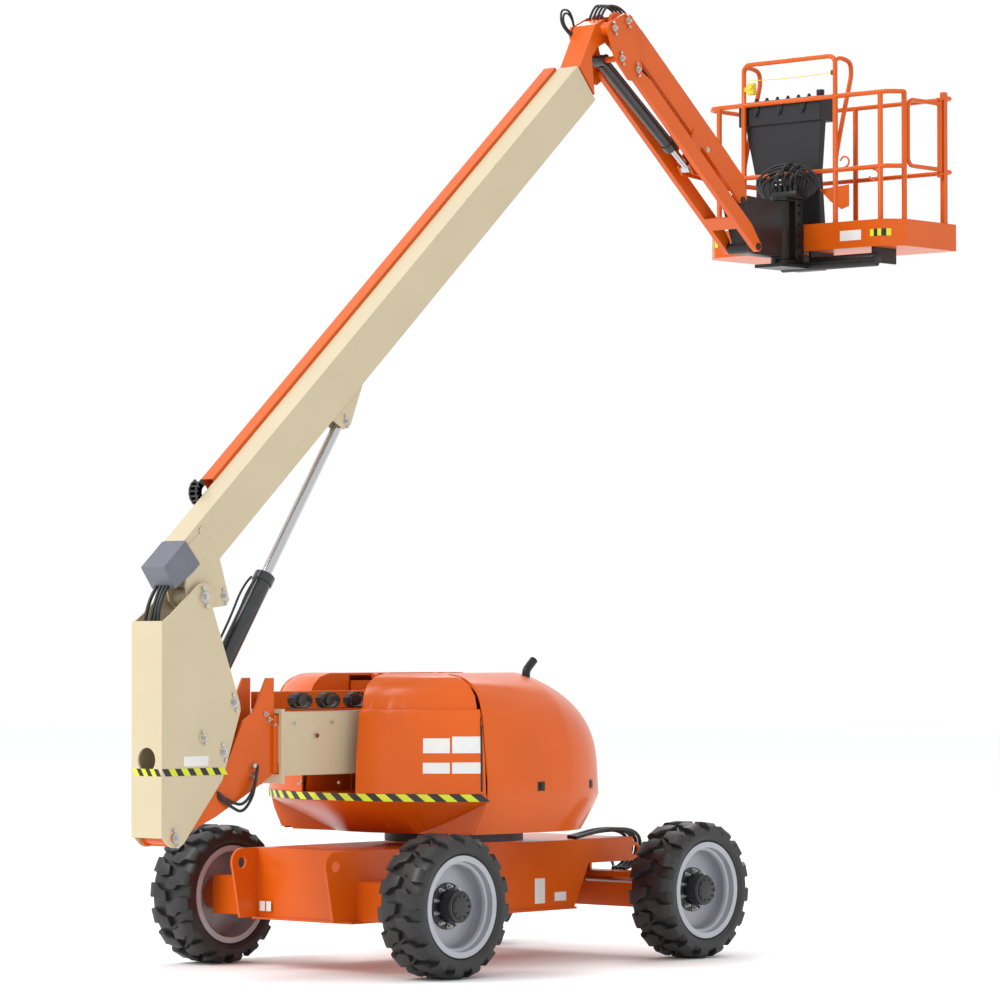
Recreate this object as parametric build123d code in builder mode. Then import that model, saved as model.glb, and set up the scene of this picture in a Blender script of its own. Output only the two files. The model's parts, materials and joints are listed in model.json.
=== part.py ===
"""Articulating boom lift on four wheels, in millimetres.

+X points from the tail towards the platform, +Y is the machine's left, +Z is up.
The origin lies on the ground under the slewing axis.
"""

from build123d import *
import math
import os

os.makedirs("parts", exist_ok=True)

# Fits
pin_clearance = 0.5
running_gap = 6.0
seat_gap = 0.3
pad_gap = 0.3
pad_length = 60.0

# Chassis and wheels
wheelbase = 2480.0
overall_width = 2440.0
tyre_radius = 464.0
tyre_width = 355.0
carcass_radius = 438.0
tread_shoulder = 40.0
lug_count = 14
lug_width = 40.0
lug_slant = 40.0
lug_gap = 6.0
lug_root = 10.0
rim_seat_radius = 300.0
rim_flange_radius = 328.0
rim_wall = 12.0
rim_width = 300.0
rim_recess = 137.0
rim_disc = 14.0
hub_radius = 100.0
spindle_radius = 45.0
spindle_length = 75.0
motor_radius = 105.0
frame_half_width = 435.0
frame_bottom = 345.0
frame_top = 800.0
frame_rear = -1460.0
frame_front = 1370.0
frame_nose_bottom = 635.0
frame_step_x = 750.0
frame_step_run = 150.0
flange_thickness = 15.0
flange_overhang = 20.0
axle_beam_depth = 320.0
axle_beam_top = 600.0
axle_beam_half_length = 900.0
lug_thickness = 20.0
lug_radius = 94.0
front_lug_radius = 56.0
lug_hole_radius = 36.0
rear_lug_x = -1605.0
front_lug_x = 1395.0
lug_z = 706.0
bearing_seat_height = 15.0

# Steering axle
steer_beam_depth = 180.0
steer_beam_bottom = 330.0
steer_beam_top = 570.0
kingpin_inset = 242.5
steer_beam_inset = 150.0
kingpin_radius = 30.0
fork_ear = 30.0
fork_radius = 60.0
steer_arm_length = 180.0
steer_arm_bottom = 470.0
steer_arm_thickness = 20.0
steer_rod_z = 520.0
steer_rod_radius = 20.0
steer_barrel_radius = 45.0
steer_barrel_half_length = 260.0
rocker_pin_radius = 35.0
rocker_pin_z = 470.0

# Slewing bearing and turntable
bearing_inner = 400.0
bearing_outer = 470.0
bearing_height = 70.0
deck_bottom = 890.0
deck_thickness = 30.0
deck_half_width = 780.0
deck_front = 690.0
wall_inner = 225.0
wall_thickness = 15.0
wall_top = 1895.0
belt_bottom = 1113.0
belt_top = 1165.0
hull_top = 1945.0
hull_radius = 1250.0
hull_wall = 15.0
slot_half_width = 245.0
split_x = -765.0
split_gap = 10.0
tail_bottom_radius = 850.0
hinge_y = 232.0
hinge_z = 1922.0
hinge_pin_radius = 9.0
hinge_ring_radius = 20.0
pipe_x = 150.0
pipe_y = -520.0

# Tower
tower_pivot = (820.0, 1490.0)
tower_pin_radius = 40.0
tower_base_half_width = 150.0
tower_base_bottom = 1290.0
tower_base_top = 1700.0
tower_base_rear = -1830.0
tower_wall = 10.0
tower_flange = 30.0
tower_fly_gap = 6.0
tray_side = 85.0
tray_width = 62.0
tray_height = 130.0
tray_wall = 5.0
tray_front = -700.0
tower_fly_front = 300.0
nose_arm_outer = 115.0
nose_arm_plate = 15.0
tower_cylinder_base = (620.0, 1000.0)
tower_cylinder_eye = (-580.0, 1160.0)

# Upright
upright_pin = (-2760.0, 921.0)
upright_half_width = 137.0
upright_plate = 15.0
upright_rear = -2870.0
upright_box_top = 2285.0

# Main boom
boom_pivot = (-2506.0, 2438.0)
boom_angle = 41.6
boom_half_width = 90.0
boom_bottom = 57.0
boom_top = 352.0
boom_rear = 140.0
boom_front = 5250.0
boom_wall = 8.0
boom_pin_radius = 30.0
fly_gap = 7.0
fly_rear = 500.0
nose_pin = (5649.0, 380.5)
lift_cylinder_base = (-2516.0, 1547.0)
lift_eye = (1808.0, -43.0)

# Jib
jib_pin = (1615.0, 6539.0)
jib_angle = -39.21
jib_length = 1830.0
link_offset = (108.0, -335.0)
level_pin = (1546.0, 6268.0)
head_plate_inner = 165.0
head_plate = 20.0
jib_beam_half_width = 100.0
jib_beam_top = 140.0
jib_beam_bottom = -30.0
jib_beam_wall = 10.0
jib_fork = 550.0
jib_root_radius = 72.0
link_half_gap = 112.0
link_width = 46.0
link_height = 75.0
link_rise = 75.0
jib_eye = (1298.5, -175.7)
jib_pin_radius = 28.0
jib_stub_inner = 66.0

# Platform
rotator_x = 3600.0
rotator_radius = 70.0
rotator_bottom = 4990.0
rotator_top = 5420.0
platform_gap = 200.0
platform_depth = 758.0
platform_width = 1830.0
platform_bottom = 5060.0
toe_height = 200.0
toe_thickness = 6.0
deck_plate = 20.0
platform_corner = 130.0
post_radius = 20.0
rail_radius = 18.0
top_rail_z = 6200.0
mid_rail_z = 5650.0
hoop_z = 6505.0


def save(piece, name):
    """Label a finished piece and write its file."""
    piece.part.label = name
    export_step(piece.part, f"parts/{name}.step")


def side_plate(points, y_low, y_high, mode=Mode.ADD):
    """A flat plate between two Y values, cut to corner points given as (X, Z)."""
    with BuildSketch(Plane.XZ.offset(-y_high)) as outline:
        with BuildLine():
            Polyline(*points, close=True)
        make_face()
    extrude(outline.sketch, amount=y_high - y_low, mode=mode)


def side_pin(centre, radius, y_low, y_high, mode=Mode.ADD):
    """A round bar or bore along Y at a centre given as (X, Z)."""
    with BuildSketch(Plane.XZ.offset(-y_high)) as circle:
        with Locations(centre):
            Circle(radius)
    extrude(circle.sketch, amount=y_high - y_low, mode=mode)


def block(x_range, y_range, z_range, mode=Mode.ADD):
    """A straight block between two values along each axis."""
    size = [high - low for low, high in (x_range, y_range, z_range)]
    middle = [(low + high) / 2 for low, high in (x_range, y_range, z_range)]
    with Locations(tuple(middle)):
        Box(*size, mode=mode)


def rod_between(start, end, radius, mode=Mode.ADD):
    """A round bar from one point to another."""
    first = Vector(*start)
    run = Vector(*end) - first
    with BuildSketch(Plane(origin=first, z_dir=run)) as circle:
        Circle(radius)
    extrude(circle.sketch, amount=run.length, mode=mode)


def bent_tube(points, radius, bend, closed=False):
    """A round tube along a path whose corners are bent to one radius."""
    with BuildLine() as path:
        FilletPolyline(*points, radius=bend, close=closed)
    start = path.line @ 0
    with BuildSketch(Plane(origin=start, z_dir=path.line % 0)) as circle:
        Circle(radius)
    sweep(circle.sketch, path=path.line)


def on_boom(along, above):
    """The (X, Z) of a point given along and above the main boom's line at rest."""
    angle = math.radians(boom_angle)
    x = boom_pivot[0] + along * math.cos(angle) - above * math.sin(angle)
    z = boom_pivot[1] + along * math.sin(angle) + above * math.cos(angle)
    return (x, z)


def on_jib(along, above):
    """The (X, Z) of a point given along and above the jib's pin line at rest."""
    angle = math.radians(jib_angle)
    x = jib_pin[0] + along * math.cos(angle) - above * math.sin(angle)
    z = jib_pin[1] + along * math.sin(angle) + above * math.cos(angle)
    return (x, z)


def shifted(point, offset):
    """A (X, Z) point moved by an offset."""
    return (point[0] + offset[0], point[1] + offset[1])


def cylinder_barrel(base, eye, length, radius, bore, eye_radius, pin_radius, half_width):
    """The outer tube of a cylinder with its base eye, drawn along base to eye."""
    start = Vector(base[0], 0, base[1])
    direction = (Vector(eye[0], 0, eye[1]) - start).normalized()
    foot = start + direction * (eye_radius * 0.6)
    head = start + direction * length
    mouth = start + direction * (length + 1)
    floor = start + direction * (eye_radius + pin_radius)
    with BuildPart() as barrel:
        rod_between(foot, head, radius)
        rod_between(start + direction * (length - 60), head, radius + 8)
        side_pin(base, eye_radius, -half_width, half_width)
        side_pin(base, pin_radius + pin_clearance, -half_width, half_width, Mode.SUBTRACT)
        rod_between(floor, mouth, bore, Mode.SUBTRACT)
    return barrel


def cylinder_rod(base, eye, start_at, radius, eye_radius, pin_radius, half_width, pin_half):
    """The chromed rod with its end eye and the short pin in that eye."""
    start = Vector(base[0], 0, base[1])
    end = Vector(eye[0], 0, eye[1])
    direction = (end - start).normalized()
    with BuildPart() as rod:
        rod_between(start + direction * start_at, end, radius)
        side_pin(eye, eye_radius, -half_width, half_width)
        side_pin(eye, pin_radius, -pin_half, pin_half)
    return rod


# Tyres and rims: the four wheels turn on the spindles of the rear axle and the knuckles.
wheel_x = wheelbase / 2
wheel_y = (overall_width - tyre_width) / 2
kingpin_y = wheel_y - kingpin_inset
steer_beam_half_length = kingpin_y - steer_beam_inset
rim_edge = rim_width / 2
disc_outer = rim_edge + rim_wall - rim_recess
disc_inner = disc_outer - rim_disc

wheel_places = {
    "front_left": (wheel_x, 1),
    "front_right": (wheel_x, -1),
    "rear_left": (-wheel_x, 1),
    "rear_right": (-wheel_x, -1),
}

# Tyre form: a carcass with two rows of slanted lugs, made round the origin.
bulge = tyre_width / 2
tread_edge = bulge - tread_shoulder
lug_top = math.sqrt(tyre_radius**2 - (lug_slant + lug_width / 2) ** 2)
lug_step = 360 / lug_count
with BuildPart() as lug:
    with BuildSketch(Plane.XY.offset(carcass_radius - lug_root)) as lug_outline:
        with BuildLine():
            Polyline(
                (-lug_width / 2, lug_gap),
                (lug_width / 2, lug_gap),
                (lug_slant + lug_width / 2, tread_edge - 4),
                (lug_slant - lug_width / 2, tread_edge - 4),
                close=True,
            )
        make_face()
    extrude(lug_outline.sketch, amount=lug_top - carcass_radius + lug_root)
lugs = []
for turn in range(lug_count):
    lugs.append(lug.part.rotate(Axis.Y, turn * lug_step))
    lugs.append(lug.part.mirror(Plane.XZ).rotate(Axis.Y, (turn + 0.5) * lug_step))
with BuildPart() as tyre_form:
    with BuildSketch(Plane.XY):
        with BuildLine():
            Polyline(
                (rim_seat_radius, -rim_edge),
                (rim_flange_radius + 3, -rim_edge),
                (carcass_radius - 30, -bulge),
                (carcass_radius, -tread_edge),
                (carcass_radius, tread_edge),
                (carcass_radius - 30, bulge),
                (rim_flange_radius + 3, rim_edge),
                (rim_seat_radius, rim_edge),
                close=True,
            )
        make_face()
    revolve(axis=Axis.Y)
    add(lugs)
lug_corner = math.degrees(math.atan2(lug_slant + lug_width / 2, lug_top))
tyre_turned = tyre_form.part.rotate(Axis.Y, -lug_corner)

for place, (x, side) in wheel_places.items():
    centre = (x, side * wheel_y, tyre_radius)
    wheel_plane = Plane(origin=centre, x_dir=(1, 0, 0), z_dir=(0, 0, side))
    wheel_axis = Axis(centre, (0, 1, 0))
    with BuildPart() as tyre:
        with Locations(centre):
            add(tyre_turned)
    save(tyre, f"tyre_{place}")

    barrel_inner = rim_seat_radius - rim_wall
    rim_outside = rim_edge + rim_wall
    with BuildPart() as rim:
        with BuildSketch(wheel_plane):
            with BuildLine():
                Polyline(
                    (0, disc_inner + spindle_length),
                    (spindle_radius + pin_clearance, disc_inner + spindle_length),
                    (spindle_radius + pin_clearance, disc_inner),
                    (barrel_inner, disc_inner),
                    (barrel_inner, -rim_outside),
                    (rim_flange_radius, -rim_outside),
                    (rim_flange_radius, -rim_edge),
                    (rim_seat_radius, -rim_edge),
                    (rim_seat_radius, rim_edge),
                    (rim_flange_radius, rim_edge),
                    (rim_flange_radius, rim_outside),
                    (barrel_inner, rim_outside),
                    (barrel_inner, disc_outer),
                    (hub_radius, disc_outer),
                    (hub_radius, rim_outside - 40),
                    (hub_radius - 15, rim_outside - 20),
                    (hub_radius - 15, rim_outside),
                    (0, rim_outside),
                    close=True,
                )
            make_face()
        revolve(axis=wheel_axis)
    save(rim, f"rim_{place}")

spindle_start = wheel_y + disc_inner - running_gap
spindle_end = wheel_y + disc_inner + spindle_length - 1

# Chassis frame: a box frame with the rear axle beam welded across it.
with BuildPart() as chassis_frame:
    side_plate(
        [
            (frame_rear, frame_bottom),
            (frame_step_x, frame_bottom),
            (frame_step_x + frame_step_run, frame_nose_bottom),
            (frame_front, frame_nose_bottom),
            (frame_front, frame_top),
            (frame_rear, frame_top),
        ],
        -frame_half_width,
        frame_half_width,
    )
    flange_y = frame_half_width + flange_overhang
    block(
        (frame_rear - flange_overhang, frame_step_x),
        (-flange_y, flange_y),
        (frame_bottom - flange_thickness, frame_bottom),
    )
    beam_rear = -wheel_x - axle_beam_depth / 2
    beam_front = -wheel_x + axle_beam_depth / 2
    block(
        (beam_rear, beam_front),
        (-axle_beam_half_length, axle_beam_half_length),
        (frame_bottom, axle_beam_top),
    )
    for side in (-1, 1):
        inner = axle_beam_half_length
        motor = sorted((side * inner, side * spindle_start))
        side_pin((-wheel_x, tyre_radius), motor_radius, *motor)
        spindle = sorted((side * spindle_start, side * spindle_end))
        side_pin((-wheel_x, tyre_radius), spindle_radius, *spindle)
        lug = sorted((side * frame_half_width, side * (frame_half_width - lug_thickness)))
        side_plate(
            [
                (frame_rear, frame_bottom),
                (rear_lug_x - 20, frame_bottom),
                (rear_lug_x - lug_radius, lug_z),
                (rear_lug_x, lug_z + lug_radius),
                (frame_rear, lug_z + lug_radius),
            ],
            *lug,
        )
        side_pin((rear_lug_x, lug_z), lug_radius, *lug)
        side_pin((rear_lug_x, lug_z), lug_hole_radius, *lug, Mode.SUBTRACT)
        side_plate(
            [
                (frame_front - 50, frame_nose_bottom),
                (frame_front, frame_nose_bottom),
                (front_lug_x, lug_z - front_lug_radius),
                (front_lug_x, lug_z + front_lug_radius),
                (frame_front - 50, frame_top),
            ],
            *lug,
        )
        side_pin((front_lug_x, lug_z), front_lug_radius, *lug)
        side_pin((front_lug_x, lug_z), lug_hole_radius, *lug, Mode.SUBTRACT)
    seat_top = frame_top + bearing_seat_height
    with Locations((0, 0, (frame_top + seat_top) / 2)):
        Cylinder(bearing_outer, bearing_seat_height)
    for ear_x in (wheel_x - steer_beam_depth / 2, wheel_x + steer_beam_depth / 2):
        out = math.copysign(1, ear_x - wheel_x)
        ear = sorted((ear_x + out * running_gap, ear_x + out * (running_gap + 25)))
        block(ear, (-70, 70), (rocker_pin_z - 60, frame_nose_bottom))
    pin_reach = steer_beam_depth / 2 + running_gap + 20
    rod_between(
        (wheel_x - pin_reach, 0, rocker_pin_z),
        (wheel_x + pin_reach, 0, rocker_pin_z),
        rocker_pin_radius,
    )
save(chassis_frame, "chassis_frame")

# Steering axle: a beam that rocks under the frame's nose, with the steering cylinder behind it.
steer_rod_x = wheel_x - steer_arm_length
with BuildPart() as steer_axle:
    beam_rear = wheel_x - steer_beam_depth / 2
    beam_front = wheel_x + steer_beam_depth / 2
    block(
        (beam_rear, beam_front),
        (-steer_beam_half_length, steer_beam_half_length),
        (steer_beam_bottom, steer_beam_top),
    )
    rod_between(
        (beam_rear, 0, rocker_pin_z),
        (beam_front, 0, rocker_pin_z),
        rocker_pin_radius + pin_clearance,
        Mode.SUBTRACT,
    )
    for side in (-1, 1):
        for ear_z in (steer_beam_bottom, steer_beam_top - fork_ear):
            with BuildSketch(Plane.XY.offset(ear_z)) as ear:
                with Locations((wheel_x, side * kingpin_y)):
                    Circle(fork_radius)
                ear_length = kingpin_y - steer_beam_half_length + 50
                with Locations((wheel_x, side * (kingpin_y - ear_length / 2))):
                    Rectangle(2 * fork_radius, ear_length)
                with Locations((wheel_x, side * kingpin_y)):
                    Circle(kingpin_radius + pin_clearance, mode=Mode.SUBTRACT)
            extrude(ear.sketch, amount=fork_ear)
        bracket = sorted((side * 150, side * 200))
        block((steer_rod_x, beam_rear), bracket, (steer_rod_z - 35, steer_rod_z + 35))
    rod_between(
        (steer_rod_x, -steer_barrel_half_length, steer_rod_z),
        (steer_rod_x, steer_barrel_half_length, steer_rod_z),
        steer_barrel_radius,
    )
    rod_between(
        (steer_rod_x, -steer_barrel_half_length, steer_rod_z),
        (steer_rod_x, steer_barrel_half_length, steer_rod_z),
        steer_rod_radius + pin_clearance,
        Mode.SUBTRACT,
    )
save(steer_axle, "steer_axle")

with BuildPart() as steer_rod:
    rod_between(
        (steer_rod_x, -kingpin_y, steer_rod_z),
        (steer_rod_x, kingpin_y, steer_rod_z),
        steer_rod_radius,
    )
    eye_bottom = steer_arm_bottom + steer_arm_thickness + running_gap
    eye_top = 2 * steer_rod_z - eye_bottom
    for side in (-1, 1):
        rod_between(
            (steer_rod_x, side * kingpin_y, eye_bottom),
            (steer_rod_x, side * kingpin_y, eye_top),
            32,
        )
save(steer_rod, "steer_rod")

# Knuckles: each turns on its kingpin and carries a drive motor and the wheel's spindle.
for name, side in (("knuckle_left", 1), ("knuckle_right", -1)):
    with BuildPart() as knuckle:
        king_y = side * kingpin_y
        rod_between(
            (wheel_x, king_y, steer_beam_bottom - 8),
            (wheel_x, king_y, steer_beam_top + 8),
            kingpin_radius,
        )
        rod_between(
            (wheel_x, king_y, steer_beam_bottom + fork_ear + running_gap),
            (wheel_x, king_y, steer_beam_top - fork_ear - running_gap),
            fork_radius - 4,
        )
        neck = sorted((king_y, side * (spindle_start - 100)))
        block((wheel_x - 50, wheel_x + 50), neck, (tyre_radius - 70, tyre_radius + 66))
        motor = sorted((side * (kingpin_y + 72), side * spindle_start))
        side_pin((wheel_x, tyre_radius), motor_radius, *motor)
        spindle = sorted((side * spindle_start, side * spindle_end))
        side_pin((wheel_x, tyre_radius), spindle_radius, *spindle)
        with BuildSketch(Plane.XY.offset(steer_arm_bottom)) as arm:
            with Locations((wheel_x - steer_arm_length / 2, king_y)):
                SlotCenterToCenter(steer_arm_length, 64)
        extrude(arm.sketch, amount=steer_arm_thickness)
    save(knuckle, name)

# Slewing bearing: the fixed outer ring on the chassis.
bearing_bottom = frame_top + bearing_seat_height
with BuildPart() as slew_bearing:
    with BuildSketch(Plane.XY.offset(bearing_bottom)):
        Circle(bearing_outer)
        Circle(bearing_inner, mode=Mode.SUBTRACT)
    extrude(amount=bearing_height)
save(slew_bearing, "slew_bearing")

# Turntable frame: deck, two walls beside the slot that hold the tower's pin, hood hinges.
deck_top = deck_bottom + deck_thickness
wall_outer = wall_inner + wall_thickness
hinge_xs = (-480.0, 120.0)
post_half = 30.0
with BuildPart() as turntable_frame:
    with BuildSketch(Plane.XY.offset(deck_bottom)) as deck:
        with BuildLine():
            Polyline(
                (split_x, -deck_half_width),
                (330, -deck_half_width),
                (560, -560),
                (deck_front, -330),
                (deck_front, 330),
                (560, 560),
                (330, deck_half_width),
                (split_x, deck_half_width),
                close=True,
            )
        make_face()
    extrude(deck.sketch, amount=deck_thickness)
    with BuildSketch(Plane.XY.offset(bearing_bottom + 10)) as hub:
        Circle(bearing_inner - pin_clearance)
        Circle(bearing_inner - 90, mode=Mode.SUBTRACT)
    extrude(hub.sketch, amount=deck_bottom - bearing_bottom - 10)
    for side in (-1, 1):
        wall = sorted((side * wall_inner, side * wall_outer))
        side_plate(
            [
                (split_x, deck_top),
                (deck_front, deck_top),
                (tower_pivot[0] - 10, 1050),
                (tower_pivot[0] + 20, tower_pivot[1]),
                (tower_pivot[0] - 60, 1640),
                (tower_pivot[0] - 170, 1770),
                (470, wall_top),
                (split_x, wall_top),
            ],
            *wall,
        )
        side_pin(tower_pivot, 105, *wall)
        boss = sorted((side * (tower_base_half_width + running_gap), side * wall_inner))
        side_pin(tower_pivot, 80, *boss)
        for hinge_x in hinge_xs:
            ear = sorted((side * wall_inner, side * (hinge_y + 8)))
            block((hinge_x - post_half, hinge_x + post_half), ear, (wall_top, hinge_z + 11))
            rod_between(
                (hinge_x - post_half - 50, side * hinge_y, hinge_z),
                (hinge_x + post_half + 50, side * hinge_y, hinge_z),
                hinge_pin_radius,
            )
        ear = sorted((side * 72, side * 92))
        side_plate(
            [
                (tower_cylinder_base[0] - 90, deck_top),
                (tower_cylinder_base[0] + 65, deck_top),
                (tower_cylinder_base[0] + 50, tower_cylinder_base[1] + 45),
                (tower_cylinder_base[0] - 50, tower_cylinder_base[1] + 45),
            ],
            *ear,
        )
    side_pin(tower_pivot, tower_pin_radius, -wall_outer, wall_outer)
    side_pin(tower_cylinder_base, 25, -92, 92)
save(turntable_frame, "turntable_frame")

# Counterweight: the heavy tail pan, turned about the slewing axis and cut off at the deck.
with BuildPart() as counterweight:
    with BuildSketch(Plane.XZ):
        with BuildLine():
            Polyline(
                (-500, deck_bottom),
                (-tail_bottom_radius, deck_bottom),
                (-hull_radius, belt_bottom),
                (-hull_radius, belt_top),
                (-500, belt_top),
                close=True,
            )
        make_face()
    revolve(axis=Axis.Z)
    block((split_x, 2000), (-2000, 2000), (800, 1300), Mode.SUBTRACT)
save(counterweight, "counterweight")

# Tail covers: round shells above the belt, one each side of the tower's slot.
tail_profile = [
    (hull_radius, belt_top + seat_gap),
    (hull_radius - 8, 1400),
    (hull_radius - 30, 1640),
    (hull_radius - 42, 1712),
    (hull_radius - 62, 1716),
    (hull_radius - 75, 1800),
    (hull_radius - 110, 1870),
    (hull_radius - 170, 1920),
    (hull_radius - 260, hull_top),
]
for name, side in (("tail_cover_left", 1), ("tail_cover_right", -1)):
    with BuildPart() as tail_cover:
        with BuildSketch(Plane.XZ):
            with BuildLine():
                inner = [(r - hull_wall, z) for r, z in tail_profile[:-2]]
                inner.append((tail_profile[-2][0] - hull_wall, tail_profile[-2][1] - hull_wall))
                inner.append((200, hull_top - hull_wall))
                outer = tail_profile + [(200, hull_top)]
                ring = outer + inner[::-1]
                Polyline(*[(-r, z) for r, z in ring], close=True)
            make_face()
        revolve(axis=Axis.Z)
        block((split_x - split_gap / 2, 2000), (-2000, 2000), (1000, 2100), Mode.SUBTRACT)
        slot = sorted((-side * 2000, side * slot_half_width))
        block((-2000, 0), slot, (1000, 2100), Mode.SUBTRACT)
        wall_front = -math.sqrt((hull_radius - 55) ** 2 - slot_half_width**2)
        wall = sorted((side * slot_half_width, side * (slot_half_width + hull_wall)))
        side_plate(
            [
                (wall_front, belt_top + seat_gap),
                (split_x - split_gap / 2, belt_top + seat_gap),
                (split_x - split_gap / 2, hull_top - 5),
                (wall_front + 190, hull_top - 5),
                (wall_front + 60, 1860),
            ],
            *wall,
        )
    save(tail_cover, name)

# Hoods: domed shells over the sides, hinged beside the slot.
hood_inner = 250.0
hood_rows = [
    (895.0, 860.0, 930.0, (483.0, 720.0), 740.0),
    (1040.0, 960.0, 1030.0, (528.0, 787.0), 840.0),
    (1130.0, 988.0, 1050.0, (550.0, 820.0), 880.0),
    (1400.0, 975.0, 1042.0, (540.0, 806.0), 865.0),
    (1620.0, 955.0, 995.0, (500.0, 745.0), 815.0),
    (1780.0, 925.0, 890.0, (420.0, 630.0), 715.0),
    (1880.0, 850.0, 740.0, (330.0, 500.0), 580.0),
    (hull_top, 620.0, 500.0, (180.0, 370.0), 330.0),
]
side_x = 0.0


def hood_outline(side, row, inset):
    """One level outline of a hood, its outer walls drawn in by an inset."""
    z, tail_y, side_y, corner, front_x = row
    back = split_x + split_gap / 2
    tail_point = (back, side * (tail_y - inset))
    side_point = (side_x, side * (side_y - inset))
    between = (
        (tail_point[0] + side_point[0]) / 2,
        side * ((tail_y + side_y) / 2 + 20 - inset),
    )
    corner_point = (corner[0] - inset * 0.7, side * (corner[1] - inset * 0.7))
    front_point = (front_x - inset, side * hood_inner)
    with BuildSketch(Plane.XY.offset(z)) as outline:
        with BuildLine():
            Line((back, side * hood_inner), tail_point)
            ThreePointArc(tail_point, between, side_point)
            ThreePointArc(side_point, corner_point, front_point)
            Line(front_point, (back, side * hood_inner))
        make_face()
    return outline.sketch


for name, side in (("hood_left", 1), ("hood_right", -1)):
    with BuildPart() as hood:
        lower = [hood_outline(side, row, 0) for row in hood_rows[:3]]
        upper = [hood_outline(side, row, 0) for row in hood_rows[2:]]
        loft(lower, ruled=True)
        loft(upper)
        inner_rows = [(row[0] - hull_wall * (row[0] > 1850), *row[1:]) for row in hood_rows]
        inner_lower = [hood_outline(side, row, hull_wall) for row in inner_rows[:3]]
        inner_upper = [hood_outline(side, row, hull_wall) for row in inner_rows[2:]]
        loft(inner_lower, ruled=True, mode=Mode.SUBTRACT)
        loft(inner_upper, mode=Mode.SUBTRACT)
        for hinge_x in hinge_xs:
            for end in (-1, 1):
                near = hinge_x + end * (post_half + running_gap)
                far = hinge_x + end * (post_half + 45)
                ring = sorted((near, far))
                rod_between(
                    (ring[0], side * hinge_y, hinge_z),
                    (ring[1], side * hinge_y, hinge_z),
                    hinge_ring_radius,
                )
                tab = sorted((side * hinge_y, side * (hood_inner + 15)))
                block(ring, tab, (hinge_z + 4, hinge_z + 18))
                rod_between(
                    (ring[0], side * hinge_y, hinge_z),
                    (ring[1], side * hinge_y, hinge_z),
                    hinge_pin_radius + pin_clearance,
                    Mode.SUBTRACT,
                )
        if side < 0:
            rod_between(
                (pipe_x, pipe_y, 1700),
                (pipe_x, pipe_y, 2000),
                28 + seat_gap,
                Mode.SUBTRACT,
            )
    save(hood, name)

# Engine: one plain block on the deck under the right hood.
with BuildPart() as engine_block:
    block((-480, 200), (-740, -330), (deck_top, 1500))
save(engine_block, "engine_block")

# Exhaust tail pipe on the right hood.
with BuildPart() as exhaust_pipe:
    bent_tube(
        [(pipe_x, pipe_y, hull_top - 160), (pipe_x, pipe_y, 1960), (pipe_x + 80, pipe_y, 2030)],
        28,
        60,
    )
save(exhaust_pipe, "exhaust_pipe")

# Tower base boom: a deep box from the turntable's pin back to its end flange.
tower_inner = tower_base_half_width - tower_wall
with BuildPart() as tower_base_boom:
    tower_box_front = tower_pivot[0] - 180
    block(
        (tower_base_rear, tower_box_front),
        (-tower_base_half_width, tower_base_half_width),
        (tower_base_bottom, tower_base_top),
    )
    block(
        (tower_base_rear - 1, tower_box_front - 20),
        (-tower_inner, tower_inner),
        (tower_base_bottom + tower_wall, tower_base_top - tower_wall),
        Mode.SUBTRACT,
    )
    flange_outer = tower_base_half_width + 15
    block(
        (tower_base_rear, tower_base_rear + tower_flange),
        (-flange_outer, flange_outer),
        (tower_base_bottom - 50, tower_base_top + 20),
    )
    block(
        (tower_base_rear - 1, tower_base_rear + tower_flange + 1),
        (-tower_inner, tower_inner),
        (tower_base_bottom + tower_wall, tower_base_top - tower_wall),
        Mode.SUBTRACT,
    )
    for side in (-1, 1):
        cheek = sorted((side * (tower_base_half_width - 20), side * tower_base_half_width))
        side_plate(
            [
                (tower_box_front - 1, tower_base_bottom),
                (tower_pivot[0] + 30, tower_pivot[1] - 85),
                (tower_pivot[0] + 85, tower_pivot[1] - 30),
                (tower_pivot[0] + 85, tower_pivot[1] + 30),
                (tower_pivot[0] + 30, tower_pivot[1] + 85),
                (tower_box_front - 1, tower_base_top),
            ],
            *cheek,
        )
        ear = sorted((side * 50, side * 68))
        side_plate(
            [
                (tower_cylinder_eye[0] - 130, tower_base_bottom),
                (tower_cylinder_eye[0] - 45, tower_cylinder_eye[1] - 40),
                (tower_cylinder_eye[0] + 45, tower_cylinder_eye[1] - 40),
                (tower_cylinder_eye[0] + 130, tower_base_bottom),
            ],
            *ear,
        )
    fly_half = tower_inner - tower_fly_gap + pad_gap
    fly_z = (
        tower_base_bottom + tower_wall + tower_fly_gap - pad_gap,
        tower_base_top - tower_wall - tower_fly_gap + pad_gap,
    )
    pad_x = (tower_base_rear, tower_base_rear + pad_length)
    for side in (-1, 1):
        pad = sorted((side * fly_half, side * (tower_inner + 1)))
        block(pad_x, pad, (tower_base_bottom + 80, tower_base_top - 80))
    block(pad_x, (-90, 90), (tower_base_bottom + tower_wall - 1, fly_z[0]))
    block(pad_x, (-90, 90), (fly_z[1], tower_base_top - tower_wall + 1))
    side_pin(tower_pivot, 75, -tower_base_half_width, tower_base_half_width)
    side_pin(
        tower_pivot,
        tower_pin_radius + pin_clearance,
        -tower_base_half_width,
        tower_base_half_width,
        Mode.SUBTRACT,
    )
save(tower_base_boom, "tower_base_boom")

# Tower hose tray: a channel on the tower's top, beside the path of the lift cylinder.
with BuildPart() as tower_hose_tray:
    tray_y = (tray_side, tray_side + tray_width)
    tray_foot = tower_base_top
    tray_x = (tower_base_rear + tower_flange, tray_front)
    block(tray_x, tray_y, (tray_foot, tray_foot + tray_height))
    block(
        (tray_x[0] - 1, tray_x[1] + 1),
        (tray_y[0] + tray_wall, tray_y[1] - tray_wall),
        (tray_foot + tray_wall, tray_foot + tray_height + 1),
        Mode.SUBTRACT,
    )
save(tower_hose_tray, "tower_hose_tray")

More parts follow.
